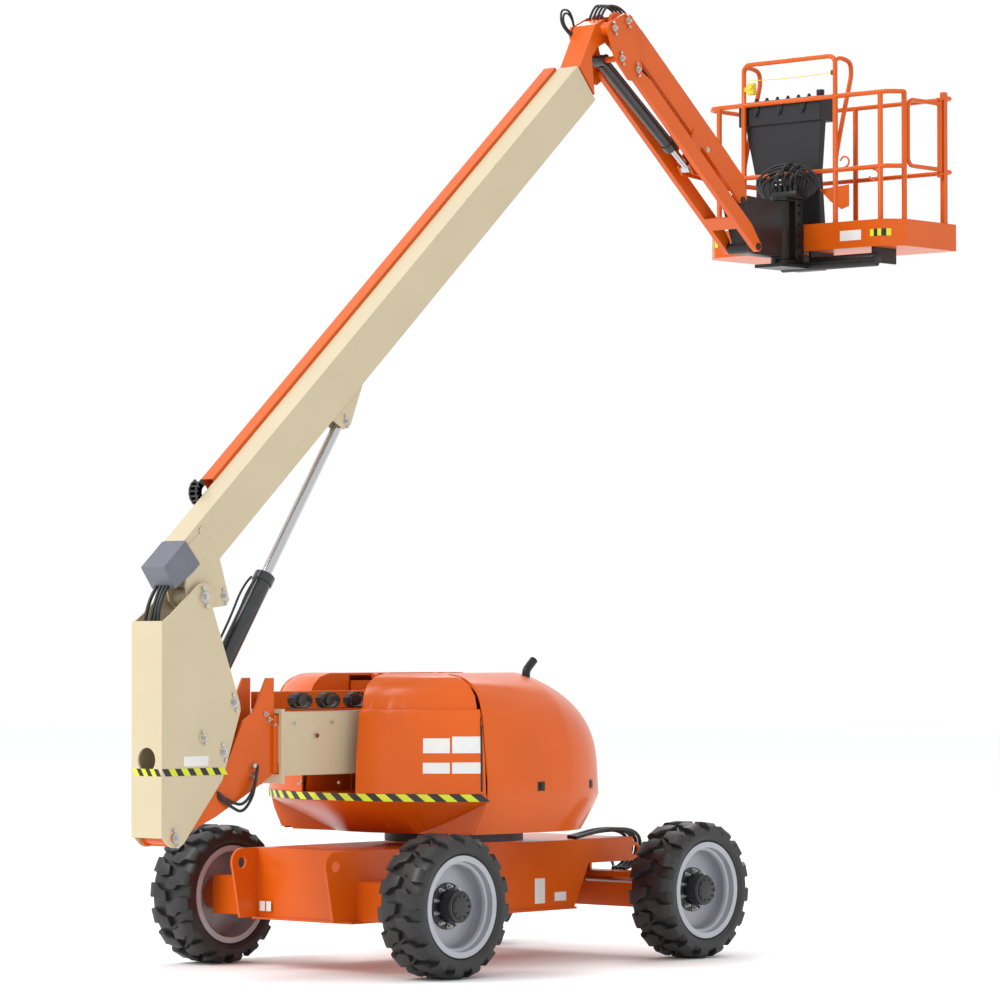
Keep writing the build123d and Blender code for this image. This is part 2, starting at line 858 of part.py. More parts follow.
# Tower fly boom: the sliding box with the nose arm that reaches down to the upright's pin.
tower_fly_half_width = tower_inner - tower_fly_gap
fly_floor = tower_base_bottom + tower_wall + tower_fly_gap
fly_roof = tower_base_top - tower_wall - tower_fly_gap
with BuildPart() as tower_fly_boom:
    block(
        (tower_base_rear - 40, tower_fly_front),
        (-tower_fly_half_width, tower_fly_half_width),
        (fly_floor, fly_roof),
    )
    block(
        (tower_base_rear + 60, tower_fly_front + 1),
        (-tower_fly_half_width + tower_wall, tower_fly_half_width - tower_wall),
        (fly_floor + tower_wall, fly_roof - tower_wall),
        Mode.SUBTRACT,
    )
    arm_root = tower_base_rear - 20
    arm_edge = [
        (arm_root, fly_floor),
        (-1961, 1243),
        (-2373, 1042),
        (-2610, 952),
        (-2735, 864),
        (-2790, 870),
        (-2818, 921),
        (-2790, 975),
        (-2500, 1150),
        (-2323, 1294),
        (-2255, 1413),
        (-2130, 1647),
        (-2032, 1704),
        (-1919, 1921),
        (arm_root, 1921),
    ]
    arm_inner = nose_arm_outer - nose_arm_plate
    side_plate(arm_edge, -nose_arm_outer, -arm_inner)
    side_plate(arm_edge, arm_inner, nose_arm_outer)
    side_plate(
        [
            (arm_root, fly_floor),
            (-1961, 1243),
            (-2373, 1042),
            (-2610, 952),
            (-2735, 864),
            (-2742, 880),
            (-2610, 967),
            (-2373, 1057),
            (-1961, 1258),
            (arm_root, fly_floor + 15),
        ],
        -arm_inner,
        arm_inner,
    )
    side_plate(
        [
            (-2500, 1150),
            (-2323, 1294),
            (-2255, 1413),
            (-2183, 1548),
            (-2168, 1541),
            (-2241, 1405),
            (-2311, 1284),
            (-2490, 1138),
        ],
        -arm_inner - 5,
        arm_inner + 5,
    )
    side_pin(upright_pin, 40, -nose_arm_outer, nose_arm_outer)
    side_pin(upright_pin, 25, -upright_half_width - 14, upright_half_width + 14)
save(tower_fly_boom, "tower_fly_boom")

tower_barrel = cylinder_barrel(
    tower_cylinder_base, tower_cylinder_eye, 1080, 55, 36, 46, 25, 66
)
save(tower_barrel, "tower_cylinder_barrel")
tower_rod = cylinder_rod(tower_cylinder_base, tower_cylinder_eye, 130, 35, 42, 24, 40, 44)
save(tower_rod, "tower_cylinder_rod")

# Upright: two side plates and a rear plate that stay vertical as the tower rises.
plate_inner = upright_half_width - upright_plate
with BuildPart() as upright:
    for side in (-1, 1):
        face = sorted((side * plate_inner, side * upright_half_width))
        with BuildSketch(Plane.XZ.offset(-face[1])) as outline:
            with BuildLine():
                Polyline(
                    (-2812, 880),
                    (upright_rear + upright_plate, 921),
                    (upright_rear + upright_plate, upright_box_top),
                    (-2787, 2329),
                    (-2570, 2502),
                )
                ThreePointArc((-2570, 2502), (boom_pivot[0], boom_pivot[1] + 90), (-2429, 2381))
                Polyline((-2429, 2381), (-2180, 1765), (-2172, 1715), (-2334, 1276), (-2668, 890))
                ThreePointArc((-2668, 890), (-2740, 858), (-2812, 880))
            make_face()
        extrude(outline.sketch, amount=upright_plate)
        side_pin(upright_pin, 25 + pin_clearance, *face, Mode.SUBTRACT)
    block(
        (upright_rear, upright_rear + upright_plate),
        (-upright_half_width, upright_half_width),
        (921, upright_box_top),
    )
    with BuildSketch(Plane.YZ.offset(upright_rear - 1)) as hole:
        with Locations((0, 1411)):
            Circle(78)
    extrude(hole.sketch, amount=20, mode=Mode.SUBTRACT)
    side_pin(boom_pivot, boom_pin_radius, -upright_half_width - 12, upright_half_width + 12)
    side_pin(lift_cylinder_base, 30, -upright_half_width - 12, upright_half_width + 12)
    side_plate(
        [(-2700, 1850), (-2640, 1850), (-2640, 2150), (-2700, 2150)],
        -plate_inner,
        plate_inner,
    )
save(upright, "upright")

# Main base boom: a long box with the pivot bracket at its rear and the lift lug below.
with BuildPart() as main_base_boom:
    side_plate(
        [
            on_boom(boom_rear, boom_bottom),
            on_boom(boom_front, boom_bottom),
            on_boom(boom_front, boom_top),
            on_boom(boom_rear, boom_top),
        ],
        -boom_half_width,
        boom_half_width,
    )
    side_plate(
        [
            on_boom(boom_rear + 20, boom_bottom + boom_wall),
            on_boom(boom_front + 1, boom_bottom + boom_wall),
            on_boom(boom_front + 1, boom_top - boom_wall),
            on_boom(boom_rear + 20, boom_top - boom_wall),
        ],
        -boom_half_width + boom_wall,
        boom_half_width - boom_wall,
        Mode.SUBTRACT,
    )
    for side in (-1, 1):
        bracket = sorted((side * 78, side * (boom_half_width + 5)))
        side_plate(
            [
                on_boom(boom_rear, boom_top - 40),
                on_boom(-40, 130),
                on_boom(-85, 40),
                on_boom(-80, -40),
                on_boom(150, -205),
                on_boom(195, -190),
                on_boom(300, boom_bottom),
                on_boom(330, boom_top - 60),
            ],
            *bracket,
        )
        lug = sorted((side * 45, side * 60))
        side_plate(
            [
                on_boom(lift_eye[0] - 90, boom_bottom + 1),
                on_boom(lift_eye[0] - 48, lift_eye[1] - 30),
                on_boom(lift_eye[0] + 20, lift_eye[1] - 48),
                on_boom(lift_eye[0] + 330, boom_bottom + 1),
            ],
            *lug,
        )
    pad_start = boom_front - pad_length
    fly_side = boom_half_width - boom_wall - fly_gap + pad_gap
    for side in (-1, 1):
        pad = sorted((side * fly_side, side * (boom_half_width - boom_wall + 1)))
        side_plate(
            [
                on_boom(pad_start, boom_bottom + 50),
                on_boom(boom_front, boom_bottom + 50),
                on_boom(boom_front, boom_top - 50),
                on_boom(pad_start, boom_top - 50),
            ],
            *pad,
        )
    for low, high in (
        (boom_bottom + boom_wall - 1, boom_bottom + boom_wall + fly_gap - pad_gap),
        (boom_top - boom_wall - fly_gap + pad_gap, boom_top - boom_wall + 1),
    ):
        side_plate(
            [
                on_boom(pad_start, low),
                on_boom(boom_front, low),
                on_boom(boom_front, high),
                on_boom(pad_start, high),
            ],
            -55,
            55,
        )
    side_pin(boom_pivot, 62, -boom_half_width - 5, boom_half_width + 5)
    side_pin(
        boom_pivot,
        boom_pin_radius + pin_clearance,
        -boom_half_width - 5,
        boom_half_width + 5,
        Mode.SUBTRACT,
    )
save(main_base_boom, "main_base_boom")

# Cover box over the hose entry at the boom's rear end.
with BuildPart() as boom_cover:
    side_plate(
        [
            on_boom(boom_rear - seat_gap, boom_bottom + 100),
            on_boom(boom_rear - seat_gap, boom_top),
            on_boom(-115, boom_top),
            on_boom(-130, 180),
            on_boom(60, 157),
        ],
        -boom_half_width - 18,
        boom_half_width + 18,
    )
    bracket_slot = boom_half_width + 5 + seat_gap
    side_plate(
        [
            on_boom(boom_rear + 1, boom_bottom),
            on_boom(boom_rear + 1, boom_top - 10),
            on_boom(-95, boom_top - 10),
            on_boom(-112, 160),
            on_boom(-60, 60),
        ],
        -bracket_slot,
        bracket_slot,
        Mode.SUBTRACT,
    )
save(boom_cover, "boom_cover")

# Hose tray along the boom's left side, standing a little above its top.
tray_inner = boom_half_width
with BuildPart() as hose_tray:
    side_plate(
        [
            on_boom(730, 175),
            on_boom(boom_front - 20, 175),
            on_boom(boom_front - 20, boom_top + 22),
            on_boom(730, boom_top + 22),
        ],
        tray_inner,
        tray_inner + 105,
    )
    side_plate(
        [
            on_boom(729, 181),
            on_boom(boom_front - 19, 181),
            on_boom(boom_front - 19, boom_top + 16),
            on_boom(729, boom_top + 16),
        ],
        tray_inner + 6,
        tray_inner + 99,
        Mode.SUBTRACT,
    )
save(hose_tray, "hose_tray")

# Main fly boom: the sliding inner box.
fly_front = boom_front + 12
fly_half_width = boom_half_width - boom_wall - fly_gap
fly_low = boom_bottom + boom_wall + fly_gap
fly_high = boom_top - boom_wall - fly_gap
with BuildPart() as main_fly_boom:
    side_plate(
        [
            on_boom(fly_rear, fly_low),
            on_boom(fly_front, fly_low),
            on_boom(fly_front, fly_high),
            on_boom(fly_rear, fly_high),
        ],
        -fly_half_width,
        fly_half_width,
    )
    side_plate(
        [
            on_boom(fly_rear - 1, fly_low + boom_wall),
            on_boom(boom_front - 60, fly_low + boom_wall),
            on_boom(boom_front - 60, fly_high - boom_wall),
            on_boom(fly_rear - 1, fly_high - boom_wall),
        ],
        -fly_half_width + boom_wall,
        fly_half_width - boom_wall,
        Mode.SUBTRACT,
    )
save(main_fly_boom, "main_fly_boom")

# Bent nose welded on the end of the fly boom, which carries the jib head on its pin.
nose_along, nose_above = nose_pin
with BuildPart() as main_fly_nose:
    side_plate(
        [
            on_boom(fly_front, fly_low + 20),
            on_boom(nose_along - 234, nose_above - 70),
            on_boom(nose_along - 134, nose_above - 58),
            on_boom(nose_along - 37, nose_above - 84),
            on_boom(nose_along + 51, nose_above - 36),
            on_boom(nose_along + 51, nose_above + 51),
            on_boom(nose_along - 49, nose_above + 80),
            on_boom(fly_front + 8, fly_high),
            on_boom(fly_front, fly_high),
        ],
        -94,
        94,
    )
    nose_xz = on_boom(*nose_pin)
    side_pin(nose_xz, 46, -head_plate_inner + running_gap, head_plate_inner - running_gap)
    pin_end = head_plate_inner + head_plate + 10
    side_pin(nose_xz, jib_pin_radius, -pin_end, pin_end)
save(main_fly_nose, "main_fly_nose")

lift_eye_xz = on_boom(*lift_eye)
lift_barrel = cylinder_barrel(lift_cylinder_base, lift_eye_xz, 1250, 62, 36, 52, 30, 52)
save(lift_barrel, "lift_cylinder_barrel")
lift_rod = cylinder_rod(lift_cylinder_base, lift_eye_xz, 720, 35, 34, 20, 36, 40)
save(lift_rod, "lift_cylinder_rod")

# Jib head: two plates kept level, with the pins of the jib beam, the links and the cylinder.
head_outer = head_plate_inner + head_plate
link_pin = shifted(jib_pin, link_offset)
head_edge = [
    (1400, 6470),
    (1430, 6512),
    (1596, 6594),
    (1673, 6581),
    (1700, 6500),
    (1720, 6380),
    (1780, 6230),
    (1765, 6165),
    (1700, 6123),
    (1640, 6123),
    (1497, 6250),
]
with BuildPart() as jib_head:
    side_plate(head_edge, head_plate_inner, head_outer)
    side_plate(head_edge, -head_outer, -head_plate_inner)
    side_pin(level_pin, 22, -head_outer - 8, head_outer + 8)
    for side in (-1, 1):
        face = sorted((side * head_plate_inner, side * head_outer))
        side_pin(nose_xz, jib_pin_radius + pin_clearance, *face, Mode.SUBTRACT)
        stub = sorted((side * jib_stub_inner, side * (head_outer + 8)))
        side_pin(jib_pin, jib_pin_radius, *stub)
        stub = sorted((side * (link_half_gap - 8), side * (head_outer + 8)))
        side_pin(link_pin, 25, *stub)
save(jib_head, "jib_head")

# Jib beam: the upper arm of the parallelogram, a box that opens to a fork at its root.
with BuildPart() as jib_beam:
    side_plate(
        [
            on_jib(0, jib_beam_bottom - 20),
            on_jib(200, jib_beam_bottom),
            on_jib(jib_length, jib_beam_bottom),
            on_jib(jib_length + 30, 0),
            on_jib(jib_length + 30, 40),
            on_jib(jib_length - 90, jib_beam_top),
            on_jib(60, jib_beam_top),
            on_jib(0, jib_root_radius),
        ],
        -jib_beam_half_width,
        jib_beam_half_width,
    )
    side_pin(jib_pin, jib_root_radius, -jib_beam_half_width, jib_beam_half_width)
    wall = jib_beam_wall
    side_plate(
        [
            on_jib(jib_fork, jib_beam_bottom + wall),
            on_jib(jib_length - 140, jib_beam_bottom + wall),
            on_jib(jib_length - 140, jib_beam_top - wall),
            on_jib(jib_fork, jib_beam_top - wall),
        ],
        -jib_beam_half_width + wall,
        jib_beam_half_width - wall,
        Mode.SUBTRACT,
    )
    side_plate(
        [
            on_jib(-100, -100),
            on_jib(jib_fork, -100),
            on_jib(jib_fork, 60),
            on_jib(60, jib_beam_top - wall),
            on_jib(-100, jib_beam_top - wall),
        ],
        -jib_stub_inner,
        jib_stub_inner,
        Mode.SUBTRACT,
    )
    side_plate(
        [
            on_jib(jib_length - 75, -100),
            on_jib(jib_length + 100, -100),
            on_jib(jib_length + 100, 200),
            on_jib(jib_length - 75, 200),
        ],
        -jib_stub_inner - 4,
        jib_stub_inner + 4,
        Mode.SUBTRACT,
    )
    side_plate(
        [
            on_jib(jib_length - 160, -100),
            on_jib(jib_length - 74, -100),
            on_jib(jib_length - 74, 30),
            on_jib(jib_length - 160, 30),
        ],
        -jib_stub_inner - 4,
        jib_stub_inner + 4,
        Mode.SUBTRACT,
    )
    for side in (-1, 1):
        cheek = sorted((side * (jib_beam_half_width - 1), side * (jib_beam_half_width + 6)))
        side_plate(
            [
                on_jib(1080, jib_beam_bottom + 40),
                on_jib(1130, jib_beam_bottom - 95),
                on_jib(1260, jib_beam_bottom - 95),
                on_jib(1210, jib_beam_bottom + 40),
            ],
            *cheek,
        )
    for centre in (jib_pin, on_jib(jib_length, 0)):
        side_pin(
            centre,
            jib_pin_radius + pin_clearance,
            -jib_beam_half_width,
            jib_beam_half_width,
            Mode.SUBTRACT,
        )
    for side in (-1, 1):
        gusset = sorted((side * 44, side * 58))
        side_plate(
            [
                on_jib(jib_eye[0] - 60, jib_beam_bottom + 1),
                on_jib(jib_eye[0] - 42, jib_eye[1] - 20),
                on_jib(jib_eye[0] + 30, jib_eye[1] - 38),
                on_jib(jib_eye[0] + 300, jib_beam_bottom + 1),
            ],
            *gusset,
        )
save(jib_beam, "jib_beam")

# Hose cover: the dark strip along the jib's upper edge.
with BuildPart() as jib_cover:
    side_plate(
        [
            on_jib(250, jib_beam_top),
            on_jib(1560, jib_beam_top),
            on_jib(1560, jib_beam_top + 42),
            on_jib(250, jib_beam_top + 42),
        ],
        -60,
        95,
    )
save(jib_cover, "jib_cover")

# Jib links: the two lower arms of the parallelogram, tied by a cross plate below the cylinder.
support_pin = on_jib(jib_length, 0)
link_far = shifted(support_pin, link_offset)
half_link = link_height / 2


def below_jib(along, above):
    """The (X, Z) of a point along the links' pin line and above it at rest."""
    return shifted(on_jib(along, above), link_offset)


with BuildPart() as jib_links:
    for side in (-1, 1):
        face = sorted((side * link_half_gap, side * (link_half_gap + link_width)))
        side_plate(
            [
                below_jib(0, -half_link),
                below_jib(jib_length, -half_link),
                below_jib(jib_length, half_link),
                below_jib(jib_length - 160, link_rise),
                below_jib(160, link_rise),
                below_jib(0, half_link),
            ],
            *face,
        )
        for centre in (link_pin, link_far):
            side_pin(centre, half_link, *face)
            side_pin(centre, 25 + pin_clearance, *face, Mode.SUBTRACT)
    side_plate(
        [
            below_jib(1480, -half_link),
            below_jib(1600, -half_link),
            below_jib(1600, -half_link + 12),
            below_jib(1480, -half_link + 12),
        ],
        -link_half_gap,
        link_half_gap,
    )
save(jib_links, "jib_links")

jib_eye_xz = on_jib(*jib_eye)
jib_barrel = cylinder_barrel(level_pin, jib_eye_xz, 960, 46, 28, 42, 22, 52)
save(jib_barrel, "jib_cylinder_barrel")
jib_rod = cylinder_rod(level_pin, jib_eye_xz, 150, 27, 34, 18, 36, 39)
save(jib_rod, "jib_cylinder_rod")

# Platform support: the weldment between the jib's pins and the rotator.
with BuildPart() as platform_support:
    lug_outer = jib_stub_inner - 2
    side_plate(
        [
            (support_pin[0] - 45, support_pin[1] - 20),
            (support_pin[0] - 25, support_pin[1] + 40),
            (support_pin[0] + 25, support_pin[1] + 48),
            (rotator_x - 60, rotator_top - 12),
            (rotator_x - 60, rotator_bottom + 12),
            (link_far[0] + 10, link_far[1] - 45),
            (link_far[0] - 40, link_far[1] - 25),
            (link_far[0] - 40, link_far[1] + 40),
        ],
        -lug_outer,
        lug_outer,
    )
    rod_between((rotator_x, 0, rotator_bottom), (rotator_x, 0, rotator_top), rotator_radius)
    side_pin(support_pin, jib_pin_radius, -jib_beam_half_width - 6, jib_beam_half_width + 6)
    side_pin(link_far, 45, -link_half_gap + running_gap, link_half_gap - running_gap)
    link_reach = link_half_gap + link_width + 6
    side_pin(link_far, 25, -link_reach, link_reach)
    rod_between(
        (rotator_x, 0, rotator_bottom - 1),
        (rotator_x, 0, rotator_top + 1),
        30 + pin_clearance,
        Mode.SUBTRACT,
    )
save(platform_support, "platform_support")

platform_near = rotator_x + platform_gap

# Platform mount: the bracket that turns on the rotator and runs under the platform.
with BuildPart() as platform_mount:
    for low, high in (
        (rotator_bottom - 40, rotator_bottom - running_gap),
        (rotator_top + running_gap, rotator_top + 36),
    ):
        with BuildSketch(Plane.XY.offset(low)) as wing:
            with Locations((rotator_x, 0)):
                Circle(rotator_radius)
            span = platform_near - rotator_x - running_gap
            with Locations((rotator_x + span / 2, 0)):
                Rectangle(span, 2 * rotator_radius)
        extrude(wing.sketch, amount=high - low)
    rod_between(
        (rotator_x, 0, rotator_bottom - 30), (rotator_x, 0, rotator_top + 30), 30
    )
    block(
        (rotator_x + rotator_radius + 25, platform_near - running_gap),
        (-rotator_radius, rotator_radius),
        (rotator_bottom - 40, rotator_top + 36),
    )
    block(
        (rotator_x - 140, platform_near + 190),
        (-130, 130),
        (rotator_bottom - 65, rotator_bottom - 40),
    )
    tube_z = platform_bottom - 115
    rod_between((platform_near, -744, tube_z), (platform_near, 130, tube_z), 34)
    for y in (-700, -120, 100):
        block(
            (platform_near + 20, platform_near + 300),
            (y, y + 20),
            (tube_z, platform_bottom),
        )
        bracket_end = (platform_near + 60, y + 10, tube_z + 15)
        rod_between((platform_near, y + 10, tube_z), bracket_end, 20)
save(platform_mount, "platform_mount")

# Platform floor: the deck with its toe boards, the near corners cut off.
platform_far = platform_near + platform_depth
half_width = platform_width / 2
corner = platform_corner


def floor_outline(inset, level):
    """The platform's plan outline at one level, drawn in by an inset."""
    cut = corner - inset * (2 - math.sqrt(2))
    near = platform_near + inset
    far = platform_far - inset
    side = half_width - inset
    with BuildSketch(Plane.XY.offset(level)) as outline:
        with BuildLine():
            Polyline(
                (near + cut, -side),
                (far, -side),
                (far, side),
                (near + cut, side),
                (near, side - cut),
                (near, -side + cut),
                close=True,
            )
        make_face()
    return outline.sketch


with BuildPart() as platform_floor:
    extrude(floor_outline(0, platform_bottom), amount=toe_height)
    extrude(
        floor_outline(toe_thickness, platform_bottom + deck_plate),
        amount=toe_height,
        mode=Mode.SUBTRACT,
    )
save(platform_floor, "platform_floor")

# Guard rails: posts on the deck, top and middle rails, and the hoop over the console.
rail_inset = toe_thickness + rail_radius + 2
rail_near = platform_near + rail_inset
rail_far = platform_far - rail_inset
rail_side = half_width - rail_inset
deck_level = platform_bottom + deck_plate
gate_near = platform_near + 175
gate_axis = platform_far - 172
gate_far = gate_axis + 32
hinge_lug_zs = (mid_rail_z - 32, top_rail_z - 24)
with BuildPart() as platform_rails:
    posts = [
        (rail_near, rail_side - corner),
        (rail_near, 520),
        (rail_near, -344),
        (rail_near, -rail_side + corner),
        (rail_far - 60, rail_side),
        (rail_far, 0),
        (gate_near - 30, -rail_side),
    ]
    for x, y in posts:
        rod_between((x, y, deck_level), (x, y, top_rail_z), post_radius)
    block(
        (gate_far, gate_far + 44),
        (-rail_side - 18, -rail_side + 18),
        (deck_level, top_rail_z + 40),
    )
    for z in (mid_rail_z, top_rail_z):
        bent_tube(
            [
                (gate_near - 30, -rail_side, z),
                (rail_near + corner * 0.6, -rail_side, z),
                (rail_near, -rail_side + corner * 0.6, z),
                (rail_near, rail_side - corner * 0.6, z),
                (rail_near + corner * 0.6, rail_side, z),
                (rail_far, rail_side, z),
                (rail_far, -rail_side, z),
                (gate_far + 22, -rail_side, z),
            ],
            rail_radius,
            30,
        )
    bent_tube(
        [
            (rail_near, 520, top_rail_z),
            (rail_near, 520, hoop_z),
            (rail_near, -344, hoop_z),
            (rail_near, -344, top_rail_z),
        ],
        rail_radius,
        60,
    )
    for z in hinge_lug_zs:
        with BuildSketch(Plane.XY.offset(z)) as lug:
            with Locations((gate_axis, -rail_side)):
                Circle(rail_radius + 9)
            with Locations((gate_axis + 20, -rail_side)):
                Rectangle(40, 24)
            with Locations((gate_axis, -rail_side)):
                Circle(rail_radius + pin_clearance, mode=Mode.SUBTRACT)
        extrude(lug.sketch, amount=16)
save(platform_rails, "platform_rails")

# Console: the control box with its tapered back panel standing on the deck.
console_near = rail_near + rail_radius + 4
with BuildPart() as console:
    block((console_near, console_near + 190), (-183, 590), (6040, 6225))
    with BuildSketch(Plane.YZ.offset(console_near + 20)) as panel:
        with BuildLine():
            Polyline(
                (-183, 6040),
                (-150, 5630),
                (-189, deck_level),
                (489, deck_level),
                (430, 5580),
                (540, 6040),
                close=True,
            )
        make_face()
    extrude(panel.sketch, amount=60)
save(console, "console")

# Gate: a bent tube frame on the right end, hung on the square post by two straps.
gate_y = -rail_side
with BuildPart() as gate:
    bent_tube(
        [
            (gate_axis, gate_y, mid_rail_z + 10),
            (gate_near + 16, gate_y, mid_rail_z + 10),
            (gate_near + 16, gate_y, top_rail_z - 50),
            (gate_axis, gate_y, top_rail_z - 50),
        ],
        rail_radius - 2,
        60,
    )
    rod_between(
        (gate_axis, gate_y, mid_rail_z - 50), (gate_axis, gate_y, top_rail_z - 6), rail_radius
    )
save(gate, "gate")
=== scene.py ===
import json
import math

import bmesh
import bpy
from mathutils import Matrix, Vector
from mathutils.bvhtree import BVHTree
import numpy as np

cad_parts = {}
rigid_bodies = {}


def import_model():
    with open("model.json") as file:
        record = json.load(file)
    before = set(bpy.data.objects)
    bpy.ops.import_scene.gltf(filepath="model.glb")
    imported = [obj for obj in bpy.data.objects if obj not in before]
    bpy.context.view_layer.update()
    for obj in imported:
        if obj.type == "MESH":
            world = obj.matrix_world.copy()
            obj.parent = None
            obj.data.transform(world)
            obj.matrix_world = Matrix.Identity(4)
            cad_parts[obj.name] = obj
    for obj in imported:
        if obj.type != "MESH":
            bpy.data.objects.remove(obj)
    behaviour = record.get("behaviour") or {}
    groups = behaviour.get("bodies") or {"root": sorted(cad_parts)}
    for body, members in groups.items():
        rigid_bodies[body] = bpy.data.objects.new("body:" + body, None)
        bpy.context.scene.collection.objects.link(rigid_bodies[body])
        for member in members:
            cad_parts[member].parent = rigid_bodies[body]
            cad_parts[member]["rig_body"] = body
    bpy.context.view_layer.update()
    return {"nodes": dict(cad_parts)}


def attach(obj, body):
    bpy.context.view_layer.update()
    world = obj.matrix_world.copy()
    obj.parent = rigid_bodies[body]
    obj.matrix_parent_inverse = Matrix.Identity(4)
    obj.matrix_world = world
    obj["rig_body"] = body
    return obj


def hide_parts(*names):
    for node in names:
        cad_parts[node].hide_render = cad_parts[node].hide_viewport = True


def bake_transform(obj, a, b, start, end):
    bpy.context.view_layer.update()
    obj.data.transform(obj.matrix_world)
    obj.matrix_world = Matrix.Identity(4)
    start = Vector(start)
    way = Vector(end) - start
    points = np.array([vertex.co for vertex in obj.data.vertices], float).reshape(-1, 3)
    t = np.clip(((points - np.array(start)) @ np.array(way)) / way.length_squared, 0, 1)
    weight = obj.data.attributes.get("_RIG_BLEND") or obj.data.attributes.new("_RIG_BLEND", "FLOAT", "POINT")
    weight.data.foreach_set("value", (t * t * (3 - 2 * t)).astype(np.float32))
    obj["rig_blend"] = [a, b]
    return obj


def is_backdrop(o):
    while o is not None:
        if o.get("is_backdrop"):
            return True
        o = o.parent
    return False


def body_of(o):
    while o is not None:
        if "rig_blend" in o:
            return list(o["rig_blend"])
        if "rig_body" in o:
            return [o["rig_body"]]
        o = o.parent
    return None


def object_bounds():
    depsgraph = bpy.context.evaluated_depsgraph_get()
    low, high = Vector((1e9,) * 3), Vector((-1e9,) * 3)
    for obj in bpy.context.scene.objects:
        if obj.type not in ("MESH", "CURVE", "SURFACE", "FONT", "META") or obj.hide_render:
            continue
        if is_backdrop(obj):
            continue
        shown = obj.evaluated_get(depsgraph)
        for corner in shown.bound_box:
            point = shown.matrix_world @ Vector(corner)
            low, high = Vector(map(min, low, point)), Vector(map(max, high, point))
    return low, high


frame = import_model()
nodes = frame["nodes"]

# Studio
# A pale floor under the machine, a bright even sky and two large soft lamps. The main one
# hangs above and behind the viewer's left shoulder, so that level faces are the brightest.
scene = bpy.context.scene
scene.view_settings.view_transform = "Standard"

floor_mesh = bmesh.new()
bmesh.ops.create_grid(floor_mesh, x_segments=2, y_segments=2, size=60)
floor_data = bpy.data.meshes.new("studio_floor")
floor_mesh.to_mesh(floor_data)
floor_mesh.free()
studio_floor = bpy.data.objects.new("studio_floor", floor_data)
scene.collection.objects.link(studio_floor)
floor_paint = bpy.data.materials.new("pale floor")
floor_paint.use_nodes = True
floor_shader = floor_paint.node_tree.nodes["Principled BSDF"]
floor_shader.inputs["Base Color"].default_value = (0.97, 0.97, 0.97, 1)
floor_shader.inputs["Roughness"].default_value = 0.9
floor_data.materials.append(floor_paint)
studio_floor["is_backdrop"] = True

sky = bpy.data.worlds.new("studio sky")
sky.use_nodes = True
sky.node_tree.nodes["Background"].inputs["Color"].default_value = (0.985, 0.99, 1.0, 1)
sky.node_tree.nodes["Background"].inputs["Strength"].default_value = 1.03
scene.world = sky

lamp_target = Vector((0.5, 0, 3))
for lamp_name, place, size, power in (
    ("key", (-15, 5, 17), 9, 2500),
    ("rim", (11, 6, 15), 8, 900),
):
    lamp_data = bpy.data.lights.new(lamp_name, "AREA")
    lamp_data.size = size
    lamp_data.energy = power
    lamp = bpy.data.objects.new(lamp_name, lamp_data)
    lamp.location = place
    lamp.rotation_euler = (lamp_target - Vector(place)).to_track_quat("-Z", "Y").to_euler()
    scene.collection.objects.link(lamp)

# Camera
# It stands low, 29 m away on the machine's rear right, with a long lens, and looks
# slightly up.
camera_data = bpy.data.cameras.new("viewpoint")
camera_data.sensor_width = 36
camera_data.lens = 155.52
camera = bpy.data.objects.new("viewpoint", camera_data)
heading = math.radians(41.7066)
tilt = math.radians(1.8364)
level = math.cos(tilt)
sight = Vector((math.cos(heading) * level, math.sin(heading) * level, math.sin(tilt)))
camera.location = (-21.698, -19.756, 2.175)
camera.rotation_euler = sight.to_track_quat("-Z", "Y").to_euler()
scene.collection.objects.link(camera)
scene.camera = camera


